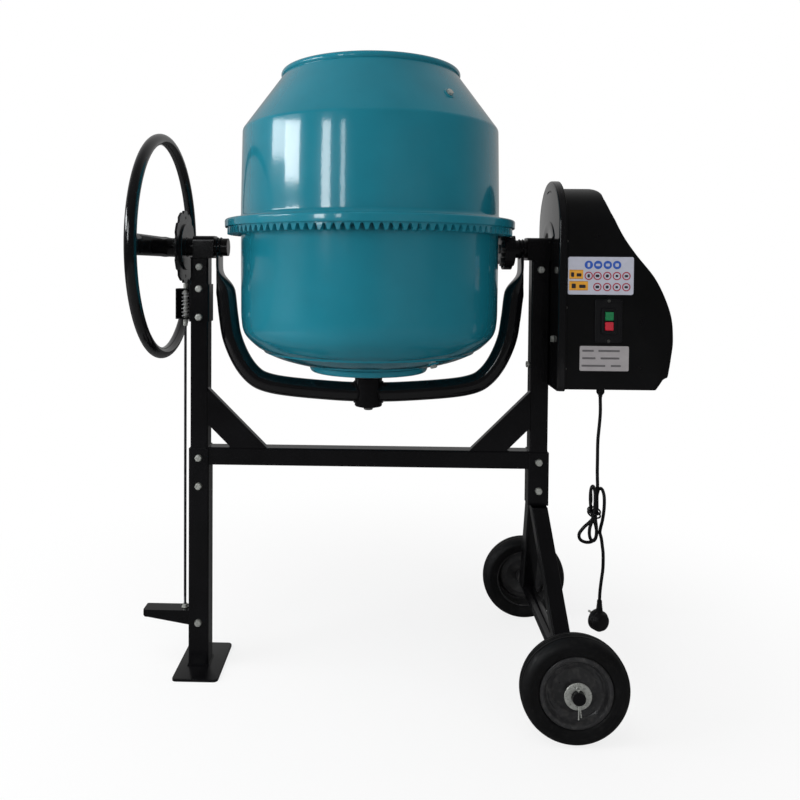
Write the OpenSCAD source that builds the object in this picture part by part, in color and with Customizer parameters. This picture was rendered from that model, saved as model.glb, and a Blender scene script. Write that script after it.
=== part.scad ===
// Tilting-drum concrete mixer on a two-wheel stand, drawn with its mouth up.
// The origin is on the floor under the machine's middle. +X points to the motor,
// +Y to the back and +Z up. The drum's axis stands at drum_x.

/* [Stance] */
// Height of the tilt axis above the floor
tilt_z = 955; // [950:1:958]
// Place of the drum's axis along the machine's length
drum_x = -66; // [-74:1:-58]
// Distance from the drum's axis to each upright's middle
upright_reach = 382; // [380:1:384]
// Distance from the drum's axis to the wheel axle
axle_reach = 405; // [402:1:410]

/* [Frame] */
// Width of the uprights' and the crossbar's square tube
upright_w = 40; // [40:0.5:40.5]
// Wall of the frame's tubes
tube_wall = 2.5; // [2:0.25:2.5]
// Width of the tube that sleeves over an upright's foot
sleeve_w = 46; // [46:0.5:47]
// Height of the crossbar's middle
crossbar_z = 482.5; // [478:0.5:486]
// Thickness of the foot plate
foot_plate_t = 5; // [4:0.5:6]

/* [Drum] */
// Outside radius of the drum's lower half at its flange
drum_r = 287; // [285:0.5:287.5]
// Outside radius of the drum's rolled lip
lip_r = 322; // [320:0.5:324]
// Outside radius of the mouth's rolled bead
mouth_r = 200; // [195:1:205]
// Thickness of the drum's steel
drum_wall = 2; // [1.5:0.25:2.5]

/* [Drive] */
// Teeth on the drum's ring gear
ring_teeth = 110; // [110:1:110]
// Teeth on the pinion
pinion_teeth = 12; // [12:1:12]
// Radius of the large belt pulley
pulley_r = 88; // [80:1:88]
// Height of the motor's shaft
motor_z = 760; // [756:1:764]

/* [Wheels] */
// Outside radius of a tyre
tyre_r = 105; // [105:1:105]
// Width of a tyre
tyre_w = 50; // [44:1:52]
// Distance from the middle plane to each wheel's middle
wheel_y = 265; // [262:1:270]

/* [Hand wheel] */
// Radius of the hand wheel to its tube's middle
hand_wheel_r = 240; // [230:1:245]
// Radius of the hand wheel's tube
hand_wheel_tube_r = 12.5; // [11:0.5:13]

/* [Cord] */
// Diameter of the mains cord
cord_d = 7; // [6.5:0.5:7.5]

/* [Hidden] */

frame_black = [0.05, 0.05, 0.06];
drum_teal = [0.13, 0.50, 0.60];
zinc = [0.72, 0.73, 0.74];
bright_steel = [0.6, 0.6, 0.62];
rubber_black = [0.04, 0.04, 0.04];
rim_grey = [0.2, 0.21, 0.22];

half_w = upright_w / 2;
sleeve_half = sleeve_w / 2;
sleeve_play = 0.5;

// Fasteners
bolt_r = 4;
bolt_hole_r = 4.25;
bolt_head_r = 7.5;
bolt_head_t = 5.3;
washer_r = 8.5;
washer_t = 1.6;
// Each crosswise bolt: x from the drum's axis, height, half the thickness that it clamps
cross_bolts = [
    [-upright_reach, 910, half_w],
    [-upright_reach, 861, sleeve_half],
    [-upright_reach, 797, sleeve_half],
    [-upright_reach, 479, sleeve_half],
    [-upright_reach, 415, sleeve_half],
    [-upright_reach, 103, sleeve_half],
    [upright_reach, 909, half_w],
    [upright_reach, 479, sleeve_half],
    [upright_reach, 415, sleeve_half]
];
casing_bolt_z = 696;
motor_bolt_y = 66;

// Frame heights
upright_foot_z = 392;
upright_top_z = tilt_z - 25;
leg_top_z = 500;
sleeve_foot_z = 382;
axle_z = tyre_r;
axle_r = 12.5;
axle_tube_r = 16;
axle_end_y = 304;
pedal_pivot_z = 103;

// Tilt bearings
pivot_r = 20;
pivot_bore_r = 15;
running_gap = 0.05;
housing_half = 25;
left_housing = [-396, -349];
right_housing = [351, 401.5];
left_pivot = [-462, -320];
right_pivot = [323, 409];

// Lock
disc_x = -420;
disc_r = 82;
disc_t = 5;
rod_x = -418;
cage_z = [795, 858];

// Drum heights, from the tilt axis
lip_low = 42;
lip_top = 60;
shoulder = [284, 257];
cone_top = [mouth_r - 4, 376];
mouth_top = 389.5;
gear_tip = 27;
gear_root = 39.5;
gear_r = 317;
gear_bore_r = 288.5;
flange_low = 44.5;
bowl_foot = [[134, -262], [170, -254], [205, -243.5], [235, -230.5]];
bowl = [[237.5, -226.5], [255, -215], [278, -190], [285, -159], [286, -116]];
disc_low = -277;
hub_top = -292;
hub_low = -357;
hub_r = 31;
hub_bore_r = 23.5;
shaft_r = 12.5;
drive_shaft_r = 10;
drive_shaft_x = [290, 452];
pinion_x = [292.5, 313];
blade_angles = [-50, 130];
blade_bolts = [[247.9, 305, 36.2], [210, -241.5, -68]];

// Motor casing
casing_x = 402;
casing_rim_x = 416;
casing_half = 106;
casing_low = 650;
casing_arch_z = 1001;
casing_corner = 16;
cover_half = 100;
cover_arch_z = 991;
cover_low = 655;
cover_wall = 3;
cover_front = [
    [504, 1063], [515, 1028], [538, 983], [566, 943], [609.5, 888], [639, 821], [646, 765],
    [642, 722], [636.5, 686]
];
belt_x = [428, 444];
motor_pulley_r = 9.5;
belt_gap = 0.4;
belt_t = 3.5;
motor_x = [458, 606];
motor_r = 64;
switch_at = [508, 802];
button_travel = 3;

// Cord: points of the free stretches, in the plane at cord_y, x from the drum's axis
cord_y = -78;
cord_sides = 8;
gland_at = [500, 637];
cord_top = [
    [500, 637], [500, 630], [500.5, 616], [500.5, 601], [499.5, 584], [498, 566], [496.5, 548],
    [496, 530], [496, 512], [496, 494], [496, 476], [496.5, 459], [497, 444]
];
cord_low = [
    [503.5, 344], [505, 337], [507, 329], [509, 315], [511, 299], [511.5, 280], [511, 262],
    [509, 245], [507, 228], [505.5, 211], [505, 195]
];
hank_top = [494, 431];
hank_top_r = 14;
hank_low = [480, 346];
hank_low_r = 28;
hank_half = 21;
plug_at = [505, 150];
plug_turn = 30;

// ---- Helpers ----

// Moves what is drawn around the drum's axis to the machine's own origin
module at_drum() translate([drum_x, 0, 0]) children();
// Moves what is drawn around the tilt axis's middle to its height
module at_tilt() translate([drum_x, 0, tilt_z]) children();
// Turns an upright child so that it runs along +X from x
module along_x(x) translate([x, 0, 0]) rotate([0, 90, 0]) children();
// Turns an upright child so that it runs along +Y from y
module along_y(y) translate([0, y, 0]) rotate([-90, 0, 0]) children();

function arc(centre, r, from, to, steps) =
    [for (i = [0:steps]) let (a = from + (to - from) * i / steps) centre + r * [cos(a), sin(a)]];

// Outline of a rectangle with round corners, w wide, d deep, middle at the origin
function round_rect(w, d, r, steps = 5) = concat(
    arc([w / 2 - r, d / 2 - r], r, 0, 90, steps),
    arc([r - w / 2, d / 2 - r], r, 90, 180, steps),
    arc([r - w / 2, r - d / 2], r, 180, 270, steps),
    arc([w / 2 - r, r - d / 2], r, 270, 360, steps)
);

// Smooth curve through the points p, with n steps between two of them
function curve_at(p, i, t) = let (
    a = p[max(i - 1, 0)], b = p[i], c = p[i + 1], d = p[min(i + 2, len(p) - 1)]
) 0.5 * (2 * b + (c - a) * t + (2 * a - 5 * b + 4 * c - d) * t * t
    + (3 * b - a - 3 * c + d) * t * t * t);
function curve(p, n) = concat(
    [for (i = [0:len(p) - 2], k = [0:n - 1]) curve_at(p, i, k / n)], [p[len(p) - 1]]
);

// A path given a thickness t to its left
function unit(v) = v / norm(v);
function left_of(a, b) = unit([a[1] - b[1], b[0] - a[0]]);
function side_at(p, i) = let (
    last = len(p) - 1,
    n1 = i > 0 ? left_of(p[i - 1], p[i]) : left_of(p[0], p[1]),
    n2 = i < last ? left_of(p[i], p[i + 1]) : left_of(p[last - 1], p[last]),
    m = unit(n1 + n2)
) m / (m * n1);
function ribbon(p, t) = concat(p, [for (i = [len(p) - 1:-1:0]) p[i] + t * side_at(p, i)]);

module square_tube(w, wall, length) {
    linear_extrude(length) difference() {
        polygon(round_rect(w, w, 4));
        polygon(round_rect(w - 2 * wall, w - 2 * wall, 2));
    }
}

module ring(outer, inner, h) {
    difference() {
        cylinder(r = outer, h = h, $fn = 64);
        translate([0, 0, -1]) cylinder(r = inner, h = h + 2, $fn = 64);
    }
}

// Holes for the crosswise bolts that pass between two heights of one side
module bolt_holes(side, low, high) {
    for (b = cross_bolts)
        if (b[0] * side > 0 && b[1] > low && b[1] < high)
            translate([b[0], -60, b[1]]) rotate([-90, 0, 0])
                cylinder(r = bolt_hole_r, h = 120, $fn = 24);
}

// A hexagon bolt and its nut along +Z, clamping from -half to half
module bolt_and_nut(half) {
    translate([0, 0, -half - washer_t - bolt_head_t]) cylinder(r = bolt_head_r, h = bolt_head_t, $fn = 6);
    translate([0, 0, -half - washer_t]) cylinder(r = washer_r, h = washer_t, $fn = 32);
    translate([0, 0, -half - washer_t]) cylinder(r = bolt_r, h = 2 * half + 13, $fn = 24);
    translate([0, 0, half]) difference() {
        union() {
            cylinder(r = washer_r, h = washer_t, $fn = 32);
            translate([0, 0, washer_t]) cylinder(r = bolt_head_r, h = 6.5, $fn = 6);
        }
        translate([0, 0, -1]) cylinder(r = bolt_r + 0.15, h = 12, $fn = 24);
    }
}

// A closed tube swept through rings, each a list of as many points
module sweep(rings) {
    n = len(rings[0]);
    m = len(rings);
    polyhedron(
        points = [for (r = rings) each r],
        faces = concat(
            [[for (j = [n - 1:-1:0]) j]],
            [for (i = [0:m - 2], j = [0:n - 1]) let (k = (j + 1) % n)
                each [[i * n + j, i * n + k, (i + 1) * n + k], [i * n + j, (i + 1) * n + k, (i + 1) * n + j]]],
            [[for (j = [0:n - 1]) (m - 1) * n + j]]
        ),
        convexity = 6
    );
}

// Rings of a round cord along points in the plane at y
function cord_rings(p, y, r) = [for (i = [0:len(p) - 1]) let (
    t = unit(p[min(i + 1, len(p) - 1)] - p[max(i - 1, 0)]),
    side = [-t[1], t[0]]
) [for (j = [0:cord_sides - 1]) let (a = 360 * j / cord_sides)
    [p[i][0] + r * cos(a) * side[0], y + r * sin(a), p[i][1] + r * cos(a) * side[1]]]];

// ---- Frame ----

module upright(side) {
    at_drum() difference() {
        translate([side * upright_reach, 0, upright_foot_z])
            square_tube(upright_w, tube_wall, upright_top_z - upright_foot_z);
        bolt_holes(side, upright_foot_z, upright_top_z);
    }
}

module left_upright() color(frame_black) upright(-1);

module right_upright() color(frame_black) difference() {
    upright(1);
    at_drum() along_x(upright_reach - 30) translate([-casing_bolt_z, 0, 0])
        cylinder(r = bolt_hole_r, h = 60, $fn = 24);
}

module crossbar() color(frame_black) at_drum() {
    reach = upright_reach - half_w;
    translate([-reach, 0, crossbar_z]) rotate([0, 90, 0]) square_tube(upright_w, tube_wall, 2 * reach);
}

// A folded corner brace, its web in front, from the crossbar's top to the upright
module gusset(side) {
    wide = 58;
    rise = 135;
    inner = upright_reach - half_w;
    base = crossbar_z + half_w;
    slant = wide * sqrt(2);
    outline = [[inner, base + rise], [inner - rise, base], [inner - rise + slant, base],
        [inner, base + rise - slant]];
    lip = 4;
    at_drum() scale([side, 1, 1]) {
        translate([0, -half_w + 3, 0]) rotate([90, 0, 0]) linear_extrude(3) polygon(outline);
        translate([0, -half_w + 18, 0]) rotate([90, 0, 0]) linear_extrude(15.5) union() {
            polygon([outline[0], outline[1], outline[1] + [lip, 0], outline[0] - [0, lip]]);
            polygon([outline[2], outline[3], outline[3] + [0, lip], outline[2] - [lip, 0]]);
        }
    }
}

module left_gusset() color(frame_black) gusset(-1);

module right_gusset() color(frame_black) gusset(1);

// A tube that sleeves over an upright's foot, open towards the crossbar
module sleeve(side, low) {
    at_drum() difference() {
        translate([side * upright_reach, 0, low])
            square_tube(sleeve_w, (sleeve_w - upright_w) / 2 - sleeve_play, leg_top_z - low);
        translate([side * (upright_reach - sleeve_half), 0, leg_top_z])
            cube([12, upright_w + 1, 2 * (leg_top_z - crossbar_z + half_w + 0.5)], center = true);
        bolt_holes(side, low, leg_top_z);
    }
}

module left_leg() color(frame_black) difference() {
    sleeve(-1, foot_plate_t);
    at_drum() translate([-upright_reach - sleeve_half, 0, 110]) cube([12, 40, 60], center = true);
}

module foot_plate() color(frame_black) at_drum() translate([-upright_reach + 6, 0, 0])
    linear_extrude(foot_plate_t) polygon(round_rect(102, 168, 10));

module stand_sleeve() color(frame_black) sleeve(1, sleeve_foot_z);

// A leg of the wheel stand from the sleeve's foot to the axle tube
module stand_leg(side) {
    top_y = 20;
    foot_y = 208;
    width = 35;
    drop = sleeve_foot_z - axle_z;
    lean = atan((foot_y - top_y) / drop);
    out = atan((axle_reach - upright_reach) / drop);
    length = drop / cos(lean) + 60;
    at_drum() difference() {
        intersection() {
            translate([upright_reach, side * top_y, sleeve_foot_z]) rotate([side * lean, -out, 0])
                translate([0, 0, 30 - length]) square_tube(width, 2.5, length);
            translate([upright_reach - 60, side > 0 ? 0.3 : -250, axle_z - 30])
                cube([120, 249.7, sleeve_foot_z - axle_z + 30]);
        }
        translate([axle_reach, 0, axle_z]) along_y(-240) cylinder(r = axle_tube_r, h = 480, $fn = 48);
        translate([axle_reach - 60, -260, axle_z - 60]) cube([120, 520, 60]);
    }
}

module front_stand_leg() color(frame_black) stand_leg(-1);

module rear_stand_leg() color(frame_black) stand_leg(1);

module axle_tube() color(frame_black) at_drum() translate([axle_reach, 0, axle_z]) along_y(-228)
    ring(axle_tube_r, axle_r + 0.2, 456);

module axle() color(bright_steel) at_drum() translate([axle_reach, 0, axle_z]) difference() {
    along_y(-axle_end_y) cylinder(r = axle_r, h = 2 * axle_end_y, $fn = 48);
    for (y = [-299.5, 299.5]) translate([0, y, 0]) rotate([0, -4, 0])
        cylinder(r = 2.3, h = 40, center = true, $fn = 20);
}

module bearing_housing(side, x) {
    length = x[1] - x[0];
    tongue = upright_w - 2 * tube_wall - 0.6;
    at_drum() difference() {
        union() {
            translate([x[0], 0, tilt_z]) rotate([90, 0, 90]) linear_extrude(length)
                polygon(concat([[housing_half, -housing_half]], arc([housing_half - 12, 13], 12, 0, 90, 6),
                    arc([12 - housing_half, 13], 12, 90, 180, 6), [[-housing_half, -housing_half]]));
            translate([side * upright_reach, 0, upright_top_z - 36]) linear_extrude(40)
                polygon(round_rect(tongue, tongue, 3));
        }
        translate([0, 0, tilt_z]) along_x(x[0] - 1)
            cylinder(r = pivot_r + running_gap, h = length + 2, $fn = 96);
        bolt_holes(side, upright_top_z - 60, upright_top_z);
    }
}

module left_bearing_housing() color(frame_black) bearing_housing(-1, left_housing);

module right_bearing_housing() color(frame_black) bearing_housing(1, right_housing);

module frame_bolts() color(zinc) at_drum() {
    for (b = cross_bolts) translate([b[0], 0, b[1]]) rotate([-90, 0, 0]) bolt_and_nut(b[2]);
    // the casing's lower bolt runs along X through the right upright
    translate([(2 * upright_reach + 4.5) / 2, 0, casing_bolt_z]) rotate([0, 90, 0])
        bolt_and_nut(half_w + 1.25 + 1);
    // the motor bracket's bolts come through the casing's back
    for (y = [-motor_bolt_y, motor_bolt_y]) translate([casing_x, y, motor_z]) rotate([0, -90, 0]) {
        cylinder(r = washer_r, h = washer_t, $fn = 32);
        translate([0, 0, washer_t]) cylinder(r = bolt_head_r, h = bolt_head_t, $fn = 6);
    }
}

// Sheet sleeve around the left upright with the cage that holds the lock's spring
module spring_bracket() color(frame_black) at_drum() difference() {
    union() {
        translate([-upright_reach, 0, 787]) square_tube(sleeve_w, (sleeve_w - upright_w) / 2 - 0.2, 84);
        for (z = [cage_z[0] - 3, cage_z[1]]) translate([-437, -14, z]) cube([33, 28, 3]);
        translate([-437, -14, cage_z[0] - 3]) cube([2.5, 28, cage_z[1] - cage_z[0] + 6]);
        translate([-437, 11.5, cage_z[0] - 3]) cube([33, 2.5, cage_z[1] - cage_z[0] + 6]);
    }
    bolt_holes(-1, 780, 880);
    translate([rod_x, 0, 780]) cylinder(r = 5.6, h = 90, $fn = 32);
}

// ---- Motor casing ----

// Outline of the casing across the machine: half width, arch height, lowest edge
function casing_outline(half, arch_z, low, corner) = concat(
    arc([0, arch_z], half, 0, 180, 24),
    arc([corner - half, low + corner], corner, 180, 270, 6),
    arc([half - corner, low + corner], corner, 270, 360, 6)
);

module casing_prism(x, length, half, arch_z, low, corner)
    translate([x, 0, 0]) rotate([90, 0, 90]) linear_extrude(length)
        polygon(casing_outline(half, arch_z, low, corner));

// Pan behind the motor, against the right upright
module casing_back() color(frame_black) at_drum() difference() {
    union() {
        casing_prism(casing_x, casing_rim_x - casing_x, casing_half, casing_arch_z, casing_low,
            casing_corner);
        translate([casing_x - 2.5, 0, tilt_z]) intersection() {
            rotate([0, 90, 0]) ring(64, 26, 3);
            translate([-5, -120, 22]) cube([10, 240, 120]);
        }
    }
    casing_prism(casing_x + 2.5, 20, casing_half - 2.5, casing_arch_z, casing_low + 2.5,
        casing_corner - 2.5);
    translate([0, 0, tilt_z]) along_x(casing_x - 5) cylinder(r = 30, h = 20, $fn = 48);
    translate([0, 0, casing_bolt_z]) along_x(casing_x - 5) cylinder(r = bolt_hole_r, h = 20, $fn = 24);
}

module cover_solid(inset, x) intersection() {
    casing_prism(x, 250, cover_half - inset, cover_arch_z, cover_low + inset, 12 - inset);
    translate([0, cover_half + 10, 0]) rotate([90, 0, 0]) linear_extrude(2 * cover_half + 20)
        polygon(concat(
            [[x, cover_low + inset], [x, 1092 - inset]],
            arc([480 - inset, 1068 - inset], 24, 90, 20, 6),
            [for (p = curve(cover_front, 4)) p - [inset, 0]],
            [[630 - inset, 680 + inset / 2], [622 - inset, 665 + inset / 2], [611 - inset, cover_low + inset]]
        ));
}

// Moulded cover around the belt and the motor
module casing_cover() color(frame_black) at_drum() difference() {
    union() {
        cover_solid(0, casing_rim_x);
        casing_prism(casing_rim_x, 3, casing_half, casing_arch_z, casing_low, casing_corner);
    }
    cover_solid(cover_wall, casing_rim_x - 1);
    // opening for the switch
    translate([switch_at[0] - 20, -cover_half - 5, switch_at[1] - 34]) cube([40, 12, 68]);
    // hole for the cable gland
    translate([gland_at[0], cord_y, cover_low - 5]) cylinder(r = 7, h = 12, $fn = 32);
}

module casing_screws() color(zinc) at_drum() {
    // on the cover's flange, around its rim
    for (p = [[103, 700], [103, 830], [103, 970], [72, 1074], [0, 1104]], side = [-1, 1])
        if (p[0] > 0 || side > 0)
            translate([casing_rim_x + 3, side * p[0], p[1]]) rotate([0, 90, 0])
                cylinder(r = 2.8, h = 2.4, $fn = 24);
    // on the switch plate
    for (z = [-40, 40]) translate([switch_at[0], -cover_half - 4, switch_at[1] + z]) rotate([90, 0, 0])
        cylinder(r = 3.2, h = 1.6, $fn = 24);
}

module motor() color([0.25, 0.3, 0.33]) at_drum() translate([0, 0, motor_z]) difference() {
    union() {
        along_x(motor_x[0]) cylinder(r = motor_r - 6, h = motor_x[1] - motor_x[0], $fn = 64);
        along_x(motor_x[0]) cylinder(r = motor_r, h = 14, $fn = 64);
        along_x(motor_x[1] - 40) cylinder(r = motor_r, h = 14, $fn = 64);
        for (a = [0:20:340]) along_x(motor_x[0] + 10) rotate([0, 0, a])
            translate([motor_r - 9, -1.25, 0]) cube([8.5, 2.5, 100]);
    }
    along_x(motor_x[0] + 10) cylinder(r = 42, h = motor_x[1] - motor_x[0] - 20, $fn = 64);
    along_x(motor_x[0] - 1) cylinder(r = 7.5, h = 20, $fn = 32);
}

// Plate and four posts that carry the motor on the casing's back
module motor_bracket() color(frame_black) at_drum() translate([0, 0, motor_z]) {
    difference() {
        translate([motor_x[0] - 5, -76, -62]) cube([5, 152, 124]);
        along_x(motor_x[0] - 6) cylinder(r = 14, h = 10, $fn = 32);
    }
    for (y = [-motor_bolt_y, motor_bolt_y]) translate([0, y, 0])
        along_x(casing_x + 2.5) cylinder(r = 9, h = motor_x[0] - 5 - casing_x - 2.5, $fn = 32);
}

// Outline of a belt's loop around both pulleys, at a distance from them
module belt_outline(away) {
    big = pulley_r + away;
    small = motor_pulley_r + away;
    span = tilt_z - motor_z;
    a = asin((big - small) / span);
    polygon(concat(arc([0, 0], big, -a, 180 + a, 64), arc([0, -span], small, 180 + a, 360 - a, 24)));
}

module drive_belt() color(rubber_black) at_tilt() translate([belt_x[0] + 1, 0, 0]) rotate([90, 0, 90])
    linear_extrude(belt_x[1] - belt_x[0] - 2) difference() {
        belt_outline(belt_gap + belt_t);
        belt_outline(belt_gap);
    }

// Switch housing: a plate with a raised frame and a body behind the cover
module switch_plate() color([0.07, 0.07, 0.08]) at_drum() translate([switch_at[0], -cover_half, switch_at[1]])
    difference() {
        union() {
            rotate([90, 0, 0]) linear_extrude(4) polygon(round_rect(58, 92, 5));
            rotate([90, 0, 0]) linear_extrude(8) polygon(round_rect(32, 54, 4));
            translate([-19, 0, -32]) cube([38, 30, 64]);
        }
        for (z = [0.9, -20.3]) translate([-9.4, -20, z]) cube([18.8, 44, 19.4]);
    }

// One push button, with a shoulder that keeps it in the housing
module button(z) at_drum() translate([switch_at[0], -cover_half, switch_at[1]])
    translate([-8.9, -9.5, z]) cube([17.8, 24, 18.4]);

module start_button() color([0.05, 0.45, 0.2]) button(1.4);

module stop_button() color([0.8, 0.08, 0.12]) button(-19.8);

module casing_labels() color([0.9, 0.9, 0.92]) at_drum() {
    translate([422, -cover_half - 0.8, 857.7]) cube([137.8, 0.8, 79.8]);
    translate([448.8, -cover_half - 0.8, 695.8]) cube([103.4, 0.8, 53]);
}

// ---- Cord ----

// Threaded gland through the cover's floor, with its tapered strain relief
module cable_gland() color(rubber_black) at_drum() translate([gland_at[0], cord_y, 0]) {
    translate([0, 0, cover_low + cover_wall]) cylinder(r = 9, h = 5, $fn = 6);
    translate([0, 0, cover_low - 0.1]) cylinder(r = 6.8, h = cover_wall + 1, $fn = 32);
    translate([0, 0, cover_low - 8]) cylinder(r = 9, h = 8, $fn = 6);
    translate([0, 0, gland_at[1]]) cylinder(r1 = 4.6, r2 = 8, h = cover_low - 8 - gland_at[1], $fn = 32);
}

module power_cord() color(rubber_black) at_drum() sweep(cord_rings(cord_top, cord_y, cord_d / 2));

module cord_hank() color(rubber_black) at_drum() translate([0, cord_y + hank_half, 0]) rotate([90, 0, 0])
    linear_extrude(2 * hank_half) hull() {
        translate(hank_top) circle(r = hank_top_r, $fn = 32);
        translate(hank_low) circle(r = hank_low_r, $fn = 32);
    }

module cord_tail() color(rubber_black) at_drum() sweep(cord_rings(cord_low, cord_y, cord_d / 2));

// Angled mains plug: round body with two pins, hanging from its strain relief
module plug() color(rubber_black) at_drum() translate([plug_at[0], cord_y, plug_at[1]]) {
    rotate([0, 0, plug_turn]) {
        along_y(-13) cylinder(r1 = 17, r2 = 22, h = 8, $fn = 48);
        along_y(-5) cylinder(r = 22, h = 18, $fn = 48);
        for (z = [-9.5, 9.5]) translate([0, 0, z]) along_y(12) cylinder(r = 2.4, h = 20, $fn = 20);
    }
    translate([0, 0, 16]) cylinder(r1 = 8.5, r2 = 5, h = 29, $fn = 32);
}

// ---- Wheels ----

module wheel_place(side) at_drum() translate([axle_reach, side * wheel_y, axle_z])
    rotate([-90 * side, 0, 0]) children();

module tyre(side) wheel_place(side) rotate_extrude($fn = 128) polygon(concat(
    [[71, -18], [76, -21]],
    arc([tyre_r - 15, -tyre_w / 2 + 12], 12, 240, 300, 4),
    arc([tyre_r - 12, -tyre_w / 2 + 14], 12, 310, 360, 5),
    arc([tyre_r - 12, tyre_w / 2 - 14], 12, 0, 50, 5),
    arc([tyre_r - 15, tyre_w / 2 - 12], 12, 60, 120, 4),
    [[76, 21], [71, 18]]
));

// Pressed dish with a hub tube; +Z points away from the machine
module rim(side) wheel_place(side) rotate_extrude($fn = 96) union() {
    polygon([[axle_r + running_gap, -27], [17, -27], [17, 27], [axle_r + running_gap, 27]]);
    polygon(ribbon(concat([[70.9, -18], [70.9, 17]], arc([64, 17], 4.5, 60, 150, 4),
        [[56, 8], [44, 4], [30, 9], [16, 12]]), 2.5));
}

module front_tyre() color(rubber_black) tyre(-1);

module rear_tyre() color(rubber_black) tyre(1);

module front_rim() color(rim_grey) rim(-1);

module rear_rim() color(rim_grey) rim(1);

module wheel_washers() color(zinc) for (side = [-1, 1]) wheel_place(side) translate([0, 0, 27.5])
    ring(26, axle_r + 0.2, 3);

module cotter_pins() color(zinc) for (side = [-1, 1]) at_drum()
    translate([axle_reach, side * 299.5, axle_z]) rotate([0, -4, 0]) {
        translate([0, 0, -42]) cylinder(r = 2, h = 62, $fn = 20);
        translate([0, 0, 20]) sphere(r = 4, $fn = 24);
    }

// ---- Yoke ----

// Middle line of the yoke's right half, x from the drum's axis and height from the tilt axis
yoke_half = [
    [0, -326], [70, -324], [174, -316], [232, -306], [263, -289], [290, -254], [311, -204],
    [319.5, -154], [326, -101], [337, -66], [340, -44], [340, -12]
];
yoke_line = let (half = curve(yoke_half, 2), n = len(half))
    concat([for (i = [n - 1:-1:1]) [-half[i][0], half[i][1]]], half);
yoke_sides = 16;
yoke_r = 22;

// How flat the tube is at a height: 0 is round and 1 is pressed flat
function flatness(z) = let (t = min(max((z + 104) / 56, 0), 1)) t * t * (3 - 2 * t);
function flat_power(v, e) = sign(v) * pow(abs(v), e);
function yoke_ring(i, skin) = let (
    p = yoke_line[i], last = len(yoke_line) - 1,
    t = unit(yoke_line[min(i + 1, last)] - yoke_line[max(i - 1, 0)]),
    f = flatness(p[1]),
    thick = (yoke_r + (3.4 - yoke_r) * f) - (2.5 * (1 - f) + 2 * f) * skin,
    wide = (yoke_r + 8 * f) - 2.5 * skin,
    e = 1 - 0.45 * f
) [for (j = [0:yoke_sides - 1]) let (a = 360 * j / yoke_sides,
    u = thick * flat_power(cos(a), e), v = wide * flat_power(sin(a), e))
    [p[0] - t[1] * u, v, p[1] + t[0] * u]];

module yoke_tube() color(frame_black) at_tilt() {
    n = yoke_sides;
    m = len(yoke_line);
    outer = [for (i = [0:m - 1]) yoke_ring(i, 0)];
    inner = [for (i = [0:m - 1]) yoke_ring(i, 1)];
    skin = m * n;
    difference() {
        polyhedron(
            points = concat([for (r = outer) each r], [for (r = inner) each r]),
            faces = concat(
                [for (i = [0:m - 2], j = [0:n - 1]) let (k = (j + 1) % n, a = i * n, b = a + n)
                    each [[a + j, a + k, b + k], [a + j, b + k, b + j]]],
                [for (i = [0:m - 2], j = [0:n - 1]) let (k = (j + 1) % n, a = skin + i * n, b = a + n)
                    each [[a + k, a + j, b + k], [a + j, b + j, b + k]]],
                [for (j = [0:n - 1]) let (k = (j + 1) % n)
                    each [[k, j, skin + k], [j, skin + j, skin + k]]],
                [for (j = [0:n - 1]) let (k = (j + 1) % n, a = (m - 1) * n)
                    each [[a + j, a + k, skin + a + k], [a + j, skin + a + k, skin + a + j]]]
            ),
            convexity = 8
        );
        translate([0, 0, -400]) cylinder(r = hub_r, h = 200, $fn = 96);
        for (side = [-1, 1]) translate([side * 340, 0, 0]) rotate([0, 90, 0])
            cylinder(r = pivot_r, h = 40, center = true, $fn = 96);
    }
}

module hub_tube() color(frame_black) at_tilt() translate([0, 0, hub_low])
    ring(hub_r, hub_bore_r, hub_top - hub_low);

// Two ball bearings for the drum's shaft and two bushes for the drive shaft
module yoke_bearings() color(bright_steel) at_tilt() {
    for (z = [hub_low, hub_top - 12]) translate([0, 0, z])
        ring(hub_bore_r - 0.02, shaft_r + running_gap, 12);
    for (x = [right_pivot[0] + 1, right_pivot[1] - 21]) along_x(x)
        ring(pivot_bore_r - 0.02, drive_shaft_r + running_gap, 20);
}

module left_pivot_tube() color(frame_black) at_tilt() difference() {
    along_x(left_pivot[0]) cylinder(r = pivot_r, h = left_pivot[1] - left_pivot[0], $fn = 96);
    along_x(left_pivot[0] - 1) cylinder(r = pivot_bore_r, h = left_pivot[1] - left_pivot[0] - 3, $fn = 64);
}

module right_pivot_tube() color(frame_black) at_tilt() along_x(right_pivot[0])
    ring(pivot_r, pivot_bore_r, right_pivot[1] - right_pivot[0]);

// Notched disc that the lock's pin holds, with a smaller plate against its inner side
module lock_disc() color([0.12, 0.12, 0.13]) at_tilt() along_x(disc_x - disc_t / 2) difference() {
    union() {
        cylinder(r = disc_r, h = disc_t, $fn = 96);
        cylinder(r = 52, h = disc_t + 4, $fn = 72);
    }
    translate([0, 0, -1]) cylinder(r = pivot_r + 0.02, h = disc_t + 6, $fn = 96);
    for (a = [15:30:345]) rotate([0, 0, a]) translate([disc_r + 3, 0, -1])
        cylinder(r = 9, h = disc_t + 2, $fn = 32);
    for (a = [0:90:270]) rotate([0, 0, a]) translate([66, 0, -1])
        cylinder(r = 4, h = disc_t + 2, $fn = 24);
}

module hand_wheel() color(frame_black) at_tilt() translate([-465, 0, 0]) {
    rotate([0, 90, 0]) rotate_extrude($fn = 128) translate([hand_wheel_r, 0])
        circle(r = hand_wheel_tube_r, $fn = 32);
    difference() {
        along_y(-hand_wheel_r) linear_extrude(2 * hand_wheel_r) difference() {
            polygon(round_rect(16, 46, 6));
            polygon(round_rect(12, 42, 4));
        }
        translate([3, 0, 0]) along_x(0) cylinder(r = pivot_r + 0.02, h = 20, $fn = 96);
        along_x(-20) cylinder(r = 6.2, h = 40, $fn = 32);
    }
}

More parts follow.
